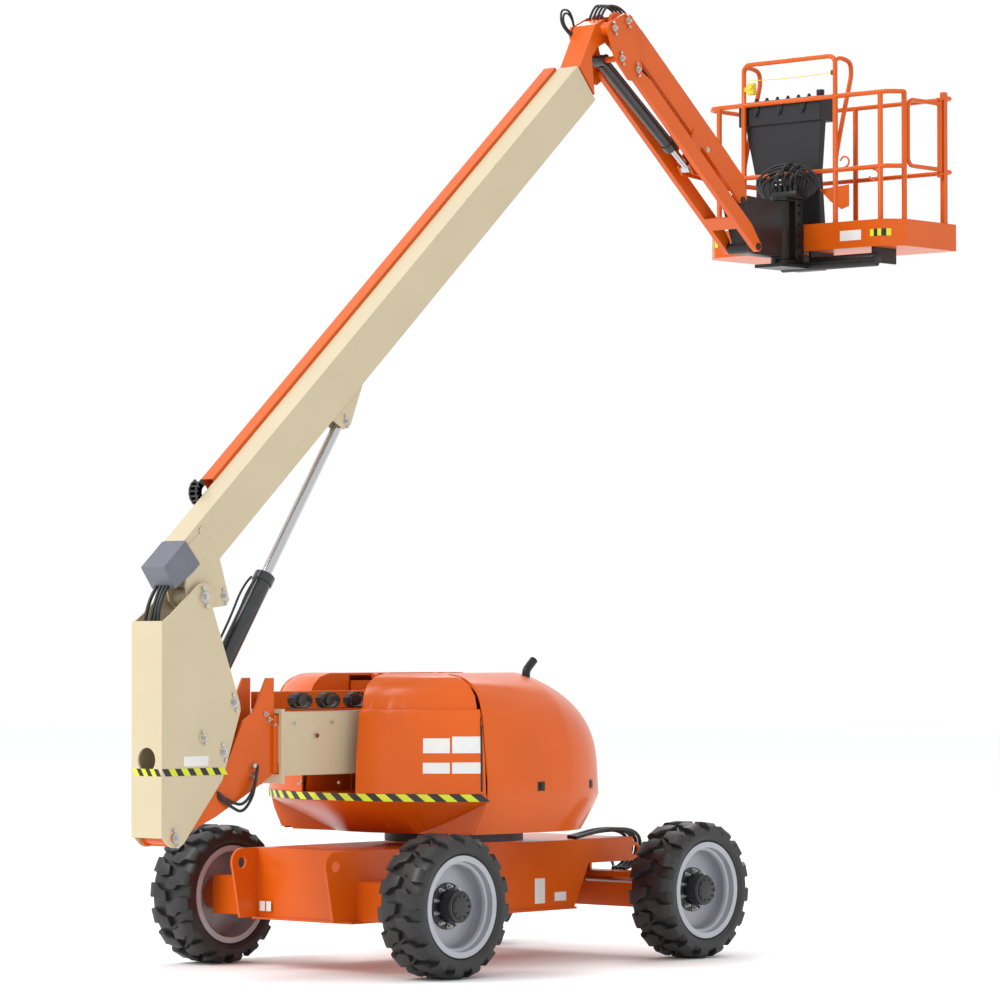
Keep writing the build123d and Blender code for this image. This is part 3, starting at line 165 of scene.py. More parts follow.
# Hoses
# Black rubber pressure hoses with a fine dusty sheen, and the taut yellow line of the
# platform's hoop. Each runs from one fitting to another; those that cross a hinge bend with it.
def finish(
    name,
    colour,
    rough,
    metal=0.0,
    coat=0.0,
    spread=0.06,
    scale=6.0,
    bump=0.02,
    grit=60.0,
    shine=0.5,
):
    """A procedural finish: cloudy colour, uneven roughness and a fine bump."""
    unevenness = 0.08
    material = bpy.data.materials.new(name)
    material.use_nodes = True
    tree = material.node_tree
    shader = tree.nodes["Principled BSDF"]
    shader.inputs["Metallic"].default_value = metal
    shader.inputs["Coat Weight"].default_value = coat
    shader.inputs["Coat Roughness"].default_value = 0.12
    shader.inputs["Specular IOR Level"].default_value = shine
    where = tree.nodes.new("ShaderNodeTexCoord")
    cloud = tree.nodes.new("ShaderNodeTexNoise")
    cloud.inputs["Scale"].default_value = scale
    cloud.inputs["Detail"].default_value = 6
    tree.links.new(where.outputs["Object"], cloud.inputs["Vector"])
    tone = tree.nodes.new("ShaderNodeValToRGB")
    dark = [max(0.0, c * (1 - spread)) for c in colour]
    light = [min(1.0, c * (1 + spread)) for c in colour]
    tone.color_ramp.elements[0].position = 0.3
    tone.color_ramp.elements[0].color = (*dark, 1)
    tone.color_ramp.elements[1].position = 0.7
    tone.color_ramp.elements[1].color = (*light, 1)
    tree.links.new(cloud.outputs["Fac"], tone.inputs["Fac"])
    tree.links.new(tone.outputs["Color"], shader.inputs["Base Color"])
    wear = tree.nodes.new("ShaderNodeMapRange")
    wear.inputs["To Min"].default_value = max(0.03, rough - unevenness)
    wear.inputs["To Max"].default_value = min(1.0, rough + unevenness)
    tree.links.new(cloud.outputs["Fac"], wear.inputs["Value"])
    tree.links.new(wear.outputs["Result"], shader.inputs["Roughness"])
    grain = tree.nodes.new("ShaderNodeTexNoise")
    grain.inputs["Scale"].default_value = grit
    grain.inputs["Detail"].default_value = 3
    tree.links.new(where.outputs["Object"], grain.inputs["Vector"])
    relief = tree.nodes.new("ShaderNodeBump")
    relief.inputs["Strength"].default_value = bump
    relief.inputs["Distance"].default_value = 0.002
    tree.links.new(grain.outputs["Fac"], relief.inputs["Height"])
    tree.links.new(relief.outputs["Normal"], shader.inputs["Normal"])
    return material


def smooth_line(name, points, resolution):
    """A curve of one open spline that starts on the first point and ends on the last."""
    line = bpy.data.curves.new(name, "CURVE")
    line.dimensions = "3D"
    run = line.splines.new("NURBS")
    run.points.add(len(points) - 1)
    for target, point in zip(run.points, points):
        target.co = (*point, 1)
    run.order_u = 3
    run.use_endpoint_u = True
    line.resolution_u = resolution
    return line


hose_resolution = 12


def spline_points(points):
    """Points along the smooth line that a hose with these control points follows."""
    line = smooth_line("hose line", points, hose_resolution)
    carrier = bpy.data.objects.new("hose line", line)
    scene.collection.objects.link(carrier)
    bpy.context.view_layer.update()
    traced = bpy.data.meshes.new_from_object(carrier)
    path = [vertex.co.copy() for vertex in traced.vertices]
    bpy.data.objects.remove(carrier)
    bpy.data.meshes.remove(traced)
    return path


hose_rubber = finish("hose rubber", (0.012, 0.012, 0.013), 0.42, spread=0.3, scale=30, bump=0.1)


def hose(name, points, diameter, body, joined_to=None, sheath=None):
    """A hose on one spline; joined to a second body, it bends across the hinge."""
    path = spline_points(points)
    data = smooth_line(name, points, hose_resolution)
    data.bevel_depth = diameter / 2
    data.bevel_resolution = 3
    data.use_fill_caps = True
    data.materials.append(sheath or hose_rubber)
    piece = bpy.data.objects.new(name, data)
    scene.collection.objects.link(piece)
    if not joined_to:
        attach(piece, body)
        return
    bpy.context.view_layer.update()
    tube = bpy.data.objects.new(name, bpy.data.meshes.new_from_object(piece))
    bpy.data.objects.remove(piece)
    tube.name = name
    tube.data.shade_smooth()
    scene.collection.objects.link(tube)
    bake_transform(tube, body, joined_to[0], start=joined_to[1], end=joined_to[2])


for number, (y, bow) in enumerate(((-0.062, 0.0), (-0.02, 0.03), (0.02, 0.05), (0.062, 0.02))):
    hose(
        f"upright_hose_{number}",
        [
            (-2.832, y, 2.10),
            (-2.832, y, 2.24),
            (-2.828 + bow * 0.5, y * 0.95, 2.34),
            (-2.795 + bow * 0.5, y * 0.9, 2.43),
            (-2.74, y * 0.8, 2.50),
            (-2.70, y * 0.8, 2.56),
        ],
        0.024,
        "upright_post",
        joined_to=("main_base", (-2.83, 0, 2.26), (-2.72, 0, 2.52)),
    )

barrel_foot = Vector((-2.516, 0, 1.547))
barrel_line = (Vector((-1.124, 0, 3.605)) - barrel_foot).normalized()
barrel_up = Vector((-barrel_line.z, 0, barrel_line.x))
for number, y in enumerate((-0.03, 0.03)):
    route = []
    for along, above in (
        (0.10, 0.075),
        (0.22, 0.105),
        (0.55, 0.085),
        (0.85, 0.083),
        (1.10, 0.11),
        (1.19, 0.075),
    ):
        point = barrel_foot + barrel_line * along + barrel_up * above
        route.append((point.x, y, point.z))
    hose(f"lift_hose_{number}", route, 0.016, "lift_barrel")

for number, (y, drop) in enumerate(((-0.138, 0.0), (-0.128, 0.05))):
    hose(
        f"nose_hose_{number}",
        [
            (-2.02, y, 1.36 - drop),
            (-2.06, y - 0.03, 1.30 - drop),
            (-2.09, y - 0.03, 1.20 - drop),
            (-2.17, y - 0.02, 1.11 - drop),
            (-2.26, y - 0.01, 1.13 - drop / 2),
            (-2.34, y, 1.17 - drop / 2),
            (-2.36, y + 0.02, 1.20 - drop / 2),
        ],
        0.02,
        "tower_fly",
    )

for number, y in enumerate((-0.05, -0.015, 0.02, 0.055)):
    rise = 0.0036 * number
    hose(
        f"head_hose_{number}",
        [
            (1.485, y, 6.56),
            (1.53, y, 6.64 + rise),
            (1.60, y, 6.665 + rise),
            (1.70, y, 6.655 + rise),
            (1.79, y, 6.60 + rise),
            (1.87, y, 6.50 + rise),
            (1.92, y, 6.44 + rise * 2 / 3),
        ],
        0.018,
        "head",
        joined_to=("jib", (1.60, 0, 6.62), (1.88, 0, 6.46)),
    )

for number, (y, lift, reach) in enumerate(
    (
        (0.10, 0.02, 0.06),
        (0.07, 0.07, 0.05),
        (0.04, 0.11, 0.03),
        (0.01, 0.05, 0.045),
        (-0.02, 0.09, 0.02),
        (-0.05, 0.03, 0.05),
        (-0.08, 0.06, 0.03),
    )
):
    hose(
        f"platform_hose_{number}",
        [
            (3.695, y, 5.50),
            (3.69 - reach, y - 0.01, 5.53 + lift * 0.5),
            (3.67 - reach, y - 0.04, 5.58 + lift),
            (3.70, y - 0.08, 5.61 + lift),
            (3.745, y - 0.10, 5.58 + lift),
            (3.765, y - 0.09, 5.54 + lift * 0.4),
            (3.755, y - 0.06, 5.46),
        ],
        0.019,
        "platform",
    )

loop_sizes = ((0.0, 0.0), (0.03, 0.03), (0.05, 0.055), (0.02, 0.075))
for number, (wide, tall) in enumerate(loop_sizes):
    hose(
        f"rotator_loop_{number}",
        [
            (3.655, 0.150, 5.43),
            (3.640, 0.20 + wide, 5.49 + tall * 0.5),
            (3.655, 0.21 + wide, 5.57 + tall),
            (3.680, 0.08, 5.64 + tall),
            (3.715, -0.09, 5.63 + tall),
            (3.750, -0.19 - wide, 5.57 + tall),
            (3.765, -0.18 - wide, 5.49),
            (3.755, -0.115, 5.45),
        ],
        0.018,
        "platform",
    )

for number, out in enumerate((0.0, 0.025)):
    y = 0.112
    hose(
        f"nose_loop_{number}",
        [
            (1.375 - out, y, 6.445 - out * 0.4),
            (1.335 - out, y + 0.02, 6.475),
            (1.300 - out, y + 0.03, 6.530),
            (1.315 - out, y + 0.04, 6.590 + out),
            (1.375, y + 0.05, 6.605 + out),
            (1.430, y + 0.055, 6.565 + out * 0.6),
            (1.450, y + 0.06, 6.520),
        ],
        0.016,
        "main_fly",
        joined_to=("head", (1.34, 0.13, 6.48), (1.43, 0.16, 6.55)),
    )

yellow_cord = finish("yellow cord", (0.75, 0.55, 0.03), 0.5, spread=0.1, scale=40)
hose(
    "hoop_line",
    [(3.826, 0.495, 6.385), (3.826, 0.30, 6.376), (3.826, 0.0, 6.372), (3.826, -0.322, 6.380)],
    0.006,
    "platform",
    sheath=yellow_cord,
)

hose(
    "axle_hose",
    [
        (1.372, -0.12, 0.70),
        (1.42, -0.12, 0.70),
        (1.44, -0.156, 0.66),
        (1.42, -0.216, 0.60),
        (1.36, -0.264, 0.56),
        (1.33, -0.288, 0.55),
    ],
    0.022,
    "chassis",
)

for number, y in enumerate((-0.30, -0.34, -0.38, -0.415)):
    rise = 0.010 * (number % 2)
    hose(
        f"axle_loop_{number}",
        [
            (0.84 - 0.02 * number, y, 0.812),
            (0.94, y, 0.828 + rise),
            (1.08, y, 0.846 + rise),
            (1.22, y - 0.01, 0.850 + rise),
            (1.36, y - 0.015, 0.838 + rise),
            (1.455, y - 0.01, 0.79 + rise),
            (1.475, y, 0.71),
            (1.45, y * 0.97, 0.63),
            (1.39, y * 0.95, 0.585),
            (1.335, y * 0.93, 0.575),
        ],
        0.026,
        "chassis",
    )

# Tyres
# Black moulded rubber with deep lugs, greyed by dust in its pores. Each tyre stands in the
# place of the plainer one in the CAD model.
tyre_rubber = finish(
    "tyre rubber", (0.014, 0.014, 0.015), 0.46, spread=0.3, scale=9, bump=0.2, grit=140
)
wheels = {
    "front_left": (1.24, 1),
    "front_right": (1.24, -1),
    "rear_left": (-1.24, 1),
    "rear_right": (-1.24, -1),
}
tread = 0.464
axle_height = 0.464
wheel_middle = 1.0425
lug_width = 0.1765
shoulder = 0.142
lugs_per_side = 16


def lug_roof(y):
    """Height of a lug's top above the axle: level over the tread, falling over the shoulder."""
    return tread - 0.001 - 0.9 * max(0.0, y - shoulder)


def tyre_mesh():
    """A moulded carcass with two staggered rows of cranked lugs, round the origin."""
    work = bmesh.new()
    section = (
        (0.3005, 0.150),
        (0.329, 0.1505),
        (0.336, 0.158),
        (0.342, 0.166),
        (0.352, 0.168),
        (0.356, 0.172),
        (0.366, 0.1745),
        (0.392, 0.1765),
        (0.402, 0.1735),
        (0.414, 0.162),
        (0.422, 0.138),
        (0.427, 0.090),
        (0.429, 0.0),
    )
    rim_line = [work.verts.new((0, -y, r)) for r, y in section]
    rim_line += [work.verts.new((0, y, r)) for r, y in reversed(section[:-1])]
    edges = [work.edges.new(pair) for pair in zip(rim_line, rim_line[1:])]
    edges.append(work.edges.new((rim_line[-1], rim_line[0])))
    bmesh.ops.spin(
        work,
        geom=rim_line + edges,
        cent=(0, 0, 0),
        axis=(0, 1, 0),
        angle=math.tau,
        steps=108,
        use_merge=True,
        use_duplicate=False,
    )
    outline = (
        (-0.034, -0.006),
        (0.034, 0.006),
        (0.050, 0.060),
        (0.088, 0.095),
        (0.090, shoulder),
        (0.084, lug_width),
        (-0.006, lug_width),
        (-0.010, shoulder),
        (-0.010, 0.108),
        (-0.046, 0.070),
    )
    bar = bmesh.new()
    floor_face = bar.faces.new([bar.verts.new((x, y, 0)) for x, y in outline])
    grown = bmesh.ops.extrude_face_region(bar, geom=[floor_face])
    for vertex in grown["geom"]:
        if isinstance(vertex, bmesh.types.BMVert):
            vertex.co.z = 1.0
    bmesh.ops.recalc_face_normals(bar, faces=bar.faces)
    for vertex in bar.verts:
        low = 0.392 if vertex.co.y > 0.15 else 0.415
        high = lug_roof(vertex.co.y)
        reach = low + (high - low) * vertex.co.z
        angle = vertex.co.x / tread
        vertex.co = (reach * math.sin(angle), vertex.co.y, reach * math.cos(angle))
    top_edges = [
        e for e in bar.edges if all(v.co.xz.length > lug_roof(v.co.y) - 0.004 for v in e.verts)
    ]
    bmesh.ops.bevel(
        bar, geom=top_edges, offset=0.004, segments=2, profile=0.5, affect="EDGES", material=-1
    )
    bmesh.ops.triangulate(bar, faces=[f for f in bar.faces if len(f.verts) > 4])
    one = bpy.data.meshes.new("lug")
    bar.to_mesh(one)
    bar.free()
    for side in (1, -1):
        for step in range(lugs_per_side):
            angle = math.tau * (step + (0.5 if side < 0 else 0)) / lugs_per_side
            before = len(work.verts)
            work.from_mesh(one)
            work.verts.ensure_lookup_table()
            fresh = work.verts[before:]
            bmesh.ops.transform(
                work,
                matrix=Matrix.Rotation(angle, 4, "Y") @ Matrix.Diagonal((1, side, 1, 1)),
                verts=fresh,
            )
    bmesh.ops.recalc_face_normals(work, faces=work.faces)
    return work


for place, (x, side) in wheels.items():
    form = tyre_mesh()
    centre = Matrix.Translation((x, side * wheel_middle, axle_height))
    bmesh.ops.transform(form, matrix=centre @ Matrix.Diagonal((side, 1, 1, 1)), verts=form.verts)
    bmesh.ops.recalc_face_normals(form, faces=form.faces)
    tyre_data = bpy.data.meshes.new(f"lugged_tyre_{place}")
    form.to_mesh(tyre_data)
    form.free()
    tyre_data.materials.append(tyre_rubber)
    tyre_data.shade_smooth()
    tyre_data.set_sharp_from_angle(angle=math.radians(32))
    tyre = bpy.data.objects.new(f"lugged_tyre_{place}", tyre_data)
    scene.collection.objects.link(tyre)
    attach(tyre, f"wheel_{place}")
    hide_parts(f"tyre_{place}")


# Rims
# Silver-painted steel, a deep dish with a rolled bead. The disc carries ten wheel nuts and
# a black cast hub drum with its own ring of screws.
def dress(node, material, bevel=0.004, segments=2, angle=30):
    """A merged copy of a solid with softly rounded edges, shown in the solid's place."""
    work = bmesh.new()
    work.from_mesh(nodes[node].data)
    bmesh.ops.remove_doubles(work, verts=work.verts, dist=0.00005)
    bmesh.ops.dissolve_limit(
        work, angle_limit=math.radians(0.6), verts=work.verts, edges=work.edges
    )
    data = bpy.data.meshes.new(f"{node}_dressed")
    work.to_mesh(data)
    work.free()
    data.materials.append(material)
    data.shade_smooth()
    data.set_sharp_from_angle(angle=math.radians(angle))
    piece = bpy.data.objects.new(f"{node}_dressed", data)
    scene.collection.objects.link(piece)
    if bevel:
        rounding = piece.modifiers.new("rounding", "BEVEL")
        rounding.width = bevel
        rounding.segments = segments
        rounding.limit_method = "ANGLE"
        rounding.angle_limit = math.radians(angle)
        rounding.harden_normals = True
    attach(piece, body_of(nodes[node])[0])
    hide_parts(node)


def shown(name, work, material, body):
    """A finished piece from a bmesh, riding on a body."""
    bmesh.ops.recalc_face_normals(work, faces=work.faces)
    data = bpy.data.meshes.new(name)
    work.to_mesh(data)
    work.free()
    for each in material if isinstance(material, (list, tuple)) else [material]:
        data.materials.append(each)
    data.shade_smooth()
    data.set_sharp_from_angle(angle=math.radians(35))
    piece = bpy.data.objects.new(name, data)
    scene.collection.objects.link(piece)
    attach(piece, body)


def drum(work, centre, axis, radius, length, sides=24, edge=0.0):
    """A closed round or many-sided drum that starts at a point and runs along an axis."""
    turn = Vector(axis).to_track_quat("Z", "Y").to_matrix().to_4x4()
    middle = Vector(centre) + Vector(axis).normalized() * length / 2
    made = bmesh.ops.create_cone(
        work,
        cap_ends=True,
        segments=sides,
        radius1=radius,
        radius2=radius,
        depth=length,
        matrix=Matrix.Translation(middle) @ turn,
    )
    if edge:
        rims = {e for v in made["verts"] for e in v.link_edges if len(e.link_faces) == 2}
        sharp = [e for e in rims if e.calc_face_angle(0) > 1.2]
        bmesh.ops.bevel(
            work, geom=sharp, offset=edge, segments=2, profile=0.5, affect="EDGES", material=-1
        )


silver = finish("silver wheel paint", (0.40, 0.41, 0.45), 0.38, metal=0.25, spread=0.05, scale=5)
hub_black = finish("black hub paint", (0.018, 0.018, 0.019), 0.38, spread=0.3, scale=20, bump=0.08)
zinc = finish("zinc plated steel", (0.55, 0.55, 0.54), 0.30, metal=0.9, spread=0.12, scale=40)
disc_reach = 1.0675
screw_ring = 0.070
nut_ring = 0.128
per_ring = 10
for place, (x, side) in wheels.items():
    dress(f"rim_{place}", silver, bevel=0.003)
    body = f"wheel_{place}"
    out = (0, side, 0)
    disc_y = side * disc_reach
    hub = bmesh.new()
    drum(hub, (x, disc_y, axle_height), out, 0.104, 0.118, sides=40, edge=0.006)
    drum(hub, (x, disc_y + side * 0.118, axle_height), out, 0.086, 0.020, sides=40, edge=0.005)
    drum(hub, (x, disc_y, axle_height), out, 0.150, 0.012, sides=40, edge=0.003)
    for number in range(per_ring):
        angle = math.tau * number / per_ring
        across = screw_ring * math.cos(angle)
        above = screw_ring * math.sin(angle)
        point = (x + across, disc_y + side * 0.138, axle_height + above)
        drum(hub, point, out, 0.009, 0.006, sides=6)
    shown(f"hub_{place}", hub, hub_black, body)
    bead = bmesh.new()
    corners = ((0.288, 0.118), (0.272, 0.110), (0.266, 0.094), (0.272, 0.078), (0.288, 0.070))
    loop = [
        bead.verts.new((x, side * (wheel_middle + y), axle_height + radius))
        for radius, y in corners
    ]
    run = [bead.edges.new(pair) for pair in zip(loop, loop[1:])]
    bmesh.ops.spin(
        bead,
        geom=loop + run,
        cent=(x, side * wheel_middle, axle_height),
        axis=(0, 1, 0),
        angle=math.tau,
        steps=96,
        use_merge=True,
        use_duplicate=False,
    )
    bmesh.ops.solidify(bead, geom=list(bead.faces), thickness=-0.002)
    shown(f"rim_bead_{place}", bead, silver, body)
    nuts = bmesh.new()
    for number in range(per_ring):
        angle = math.tau * (number + 0.5) / per_ring
        across = nut_ring * math.cos(angle)
        above = nut_ring * math.sin(angle)
        point = (x + across, disc_y + side * 0.012, axle_height + above)
        drum(nuts, point, out, 0.016, 0.003, sides=16)
        drum(nuts, point, out, 0.0125, 0.020, sides=6)
        drum(nuts, point, out, 0.007, 0.036, sides=10)
    shown(f"wheel_nuts_{place}", nuts, zinc, body)

# Chassis
# Welded plate in orange gloss paint, dark cast knuckles and a chromed steering rod. The signs
# on the side and the rear are blank plates.
orange = finish(
    "orange gloss paint",
    (0.63, 0.098, 0.003),
    0.32,
    coat=0.08,
    spread=0.05,
    scale=2.2,
    bump=0.015,
    shine=0.3,
)
for node in ("chassis_frame", "steer_axle"):
    dress(node, orange, bevel=0.005)
dark_cast = finish("dark casting", (0.028, 0.028, 0.030), 0.55, spread=0.3, scale=25, bump=0.3)
chrome = finish(
    "chromed steel", (0.50, 0.51, 0.53), 0.14, metal=1.0, spread=0.02, scale=30, bump=0.0
)
for node in ("knuckle_left", "knuckle_right", "slew_bearing"):
    dress(node, dark_cast, bevel=0.003)
dress("steer_rod", chrome, bevel=0.002)


def slab(work, low, high, edge=0.0):
    """A closed block between two corners."""
    size = Vector(high) - Vector(low)
    middle = (Vector(high) + Vector(low)) / 2
    made = bmesh.ops.create_cube(
        work, size=1, matrix=Matrix.Translation(middle) @ Matrix.Diagonal((*size, 1))
    )
    if edge:
        edges = {e for v in made["verts"] for e in v.link_edges}
        bmesh.ops.bevel(
            work,
            geom=list(edges),
            offset=edge,
            segments=2,
            profile=0.5,
            affect="EDGES",
            material=-1,
        )


blank_white = finish("blank white plate", (0.72, 0.72, 0.70), 0.35, spread=0.03, scale=14)
tags = bmesh.new()
for low, high in (
    ((0.336, -0.4365, 0.38), (0.44, -0.4345, 0.55)),
    ((0.54, -0.4365, 0.39), (0.66, -0.4345, 0.45)),
    ((-1.4762, 0.28, 0.385), (-1.4742, 0.325, 0.45)),
    ((-1.4762, 0.335, 0.385), (-1.4742, 0.385, 0.45)),
):
    slab(tags, low, high, 0.001)
shown("chassis_tags", tags, blank_white, "chassis")

# Turntable, tail pan and covers
# The pan and the covers are moulded and gloss painted. A belt of yellow and black bars and
# blank plates are stuck on, and a dark rubber strip closes the seam to each hood.
dress("turntable_frame", orange, bevel=0.004)
dress("counterweight", orange, bevel=0.006)
for node in ("tail_cover_left", "tail_cover_right"):
    dress(node, orange, bevel=0.005, angle=24)
dress("engine_block", dark_cast, bevel=0.006)
belt_yellow = finish("yellow warning paint", (0.62, 0.66, 0.02), 0.4, spread=0.05, scale=12)
belt_black = finish("black warning paint", (0.012, 0.012, 0.012), 0.4, spread=0.2, scale=12)
belt = bmesh.new()
tail_radius = 1.252
belt_radius = tail_radius + 0.0005
reach = math.asin(0.985 / tail_radius)
bars = 32
steps_per_bar = 3
lean = 0.048
start = math.pi - reach
ends = []
for angle, z in ((start + lean / 2, 1.115), (start - lean / 2, 1.163)):
    ends.append(belt.verts.new((belt_radius * math.cos(angle), belt_radius * math.sin(angle), z)))
first = belt.edges.new(ends)
bmesh.ops.spin(
    belt,
    geom=[*ends, first],
    cent=(0, 0, 0),
    axis=(0, 0, 1),
    angle=2 * reach,
    steps=bars * steps_per_bar,
    use_merge=False,
    use_duplicate=False,
)
belt.faces.ensure_lookup_table()
for index, face in enumerate(belt.faces):
    face.material_index = (index // steps_per_bar) % 2
bmesh.ops.solidify(belt, geom=list(belt.faces), thickness=0.0012)
shown("tail_belt", belt, [belt_yellow, belt_black], "turntable")


def laid_round(work, node, first, last, low, high, lift=0.0008, steps=(8, 4)):
    """A thin sheet pressed on a curved cover: its points are dropped inward onto the skin."""
    skin = nodes[node].data
    corners = [vertex.co for vertex in skin.vertices]
    tree = BVHTree.FromPolygons(corners, [face.vertices for face in skin.polygons])
    sheet = bmesh.new()
    bmesh.ops.create_grid(sheet, x_segments=steps[0], y_segments=steps[1], size=0.5)
    missed = []
    for vertex in sheet.verts:
        angle = math.radians(first + (last - first) * (vertex.co.x + 0.5))
        inward = Vector((-math.cos(angle), -math.sin(angle), 0))
        start = Vector((0, 0, low + (high - low) * (vertex.co.y + 0.5))) - inward * 1.5
        spot = tree.ray_cast(start, inward, 0.6)[0]
        if spot is None:
            missed.append(vertex)
        else:
            vertex.co = spot - inward * lift
    bmesh.ops.delete(sheet, geom=missed, context="VERTS")
    bmesh.ops.recalc_face_normals(sheet, faces=sheet.faces)
    bmesh.ops.solidify(sheet, geom=list(sheet.faces), thickness=0.0006)
    carrier = bpy.data.meshes.new("laid sheet")
    sheet.to_mesh(carrier)
    sheet.free()
    work.from_mesh(carrier)


tail_tags = bmesh.new()
for first, last, low, high in (
    (213.0, 221.1, 1.430, 1.526),
    (221.8, 230.6, 1.430, 1.538),
    (213.0, 221.1, 1.298, 1.368),
    (221.8, 230.4, 1.298, 1.370),
):
    laid_round(tail_tags, "tail_cover_right", first, last, low, high)
shown("tail_tags", tail_tags, blank_white, "turntable")


def prism(work, outline, low, high):
    """A flat plate with an outline in Y and Z, between two places along X."""
    base = work.faces.new([work.verts.new((low, y, z)) for y, z in outline])
    grown = bmesh.ops.extrude_face_region(work, geom=[base])
    for vertex in grown["geom"]:
        if isinstance(vertex, bmesh.types.BMVert):
            vertex.co.x = high


pan_ends = bmesh.new()
for side in (-1, 1):
    outline = ((0.984, 1.108), (0.955, 1.03), (0.885, 0.905), (0.40, 0.905), (0.40, 1.108))
    prism(pan_ends, [(side * y, z) for y, z in outline], -0.764, -0.752)
shown("pan_ends", pan_ends, orange, "turntable")
seal_rubber = finish("rubber seal", (0.011, 0.011, 0.012), 0.6, spread=0.2, scale=20, bump=0.1)
seals = bmesh.new()
laid_round(seals, "tail_cover_right", 230.35, 230.95, 1.18, 1.93, 0.003, (2, 40))
laid_round(seals, "tail_cover_left", 129.05, 129.65, 1.18, 1.93, 0.003, (2, 40))
shown("cover_seals", seals, seal_rubber, "turntable")

# Hoods
# Moulded covers in the same orange, each with two small black latches at its lower edge. The
# black exhaust pipe rides on the right one.
for node in ("hood_left", "hood_right"):
    dress(node, orange, bevel=0.0, angle=40)
black_paint = finish(
    "black paint", (0.010, 0.010, 0.011), 0.38, spread=0.25, scale=18, bump=0.05, shine=0.35
)
dress("exhaust_pipe", black_paint, bevel=0.0, angle=40)
for node, middle, leaf in (("hood_left", 90.0, "left_hood"), ("hood_right", 270.0, "right_hood")):
    latch = bmesh.new()
    for spot in (middle - 16.0, middle + 16.0):
        laid_round(latch, node, spot - 1.6, spot + 1.6, 1.175, 1.235, 0.004)
        laid_round(latch, node, spot - 0.6, spot + 0.6, 1.185, 1.225, 0.010)
    shown(f"{node}_latches", latch, black_paint, leaf)

# Tower
# Welded boxes, cream outside and orange inside, driven by cylinders with chromed rods. Coils
# of black link track stand on top, on both sides of the lift cylinder's way.
cream = finish(
    "cream gloss paint",
    (0.56, 0.475, 0.315),
    0.36,
    coat=0.1,
    spread=0.035,
    scale=2.0,
    bump=0.015,
    shine=0.4,
)
dress("tower_base_boom", cream, bevel=0.004)
dress("tower_fly_boom", orange, bevel=0.004)
barrel_paint = finish(
    "black barrel paint", (0.022, 0.023, 0.025), 0.28, coat=0.2, spread=0.2, scale=10
)
for name in ("tower", "lift", "jib"):
    dress(f"{name}_cylinder_barrel", barrel_paint, bevel=0.003)
    dress(f"{name}_cylinder_rod", chrome, bevel=0.002)


def pin_head(work, x, y, z, size=0.03, keeper=True):
    """A hex bolt on a washer at the end of a hinge pin, with its keeper plate below."""
    out = (0, math.copysign(1, y), 0)
    drum(work, (x, y, z), out, size, 0.006, sides=20)
    drum(work, (x, y, z), out, size * 0.62, 0.020, sides=6)
    drum(work, (x, y, z), out, size * 0.36, 0.030, sides=12)
    if keeper:
        drum(work, (x + size * 0.5, y, z - size * 1.7), out, size * 0.42, 0.012, sides=6)
        drum(work, (x - size * 0.4, y, z + size * 1.6), out, size * 0.42, 0.012, sides=6)


nose_bolts = bmesh.new()
for side in (-1, 1):
    for x, z in ((-1.93, 1.690), (-1.895, 1.655), (-1.86, 1.620)):
        pin_head(nose_bolts, x, side * 0.115, z, 0.016, keeper=False)
    for x, z in ((-2.05, 1.36), (-2.06, 1.30)):
        drum(nose_bolts, (x, side * 0.115, z), (0, side, 0), 0.016, 0.03, sides=6)
shown("nose_bolts", nose_bolts, zinc, "tower_fly")


def tilted_block(work, spot, turn, size):
    """A closed block round a point, turned in its place."""
    bmesh.ops.create_cube(
        work, size=1, matrix=Matrix.Translation(spot) @ turn @ Matrix.Diagonal((*size, 1))
    )


track = bmesh.new()
links = 12
coil_height = 1.772
for x in (-1.62, -1.36, -1.10):
    for y in (-0.150, 0.092):
        for index in range(links):
            angle = math.tau * index / links
            along = 0.087 * math.cos(angle)
            above = 0.046 * math.sin(angle)
            turn = Matrix.Rotation(-angle, 4, "Y")
            spot = (x + along, y + 0.024, coil_height + above)
            tilted_block(track, spot, turn, (0.012, 0.048, 0.034))
        drum(track, (x, y + 0.002, coil_height), (0, 1, 0), 0.036, 0.044, sides=20, edge=0.004)
slab(track, (-1.72, -0.152, 1.7205), (-0.98, -0.098, 1.7265), 0.001)
shown("tower_hose_track", track, hub_black, "tower_base")

dress("tower_hose_tray", orange, bevel=0.002)
red_plug = finish("red brown plug", (0.20, 0.018, 0.010), 0.5, spread=0.1, scale=30)
plugs = bmesh.new()
dots = bmesh.new()
for side in (-1, 1):
    drum(plugs, (-1.50, side * 0.1652, 1.545), (0, side, 0), 0.015, 0.004, sides=24, edge=0.001)
    for x, z in ((-1.70, 1.625), (-1.68, 1.235), (-1.36, 1.630), (-1.30, 1.235)):
        drum(dots, (x, side * 0.1652, z), (0, side, 0), 0.011, 0.007, sides=6)
shown("tower_plugs", plugs, red_plug, "tower_base")
shown("tower_bolts", dots, zinc, "tower_base")

# Upright
# Cream plate, folded to a channel, with a band of slanted yellow and black bars round it, a
# blank plate and bright pin ends.
dress("upright", cream, bevel=0.004)


def stripe_band(name, start, along, across, count, width, lean, body, first=0):
    """A flat band of slanted bars: a leaning edge pushed along a line, alternately coloured."""
    work = bmesh.new()
    foot = work.verts.new(start)
    head = work.verts.new(Vector(start) + Vector(across) + Vector(along) * lean)
    edge = work.edges.new((foot, head))
    bmesh.ops.spin(
        work,
        geom=[foot, head, edge],
        cent=(0, 0, 0),
        axis=(0, 0, 1),
        dvec=Vector(along) * width,
        angle=0,
        steps=count,
        use_merge=False,
        use_duplicate=False,
    )
    work.faces.ensure_lookup_table()
    for index, face in enumerate(work.faces):
        face.material_index = (index + first) % 2
    bmesh.ops.solidify(work, geom=list(work.faces), thickness=0.001)
    shown(name, work, [belt_black, belt_yellow], body)


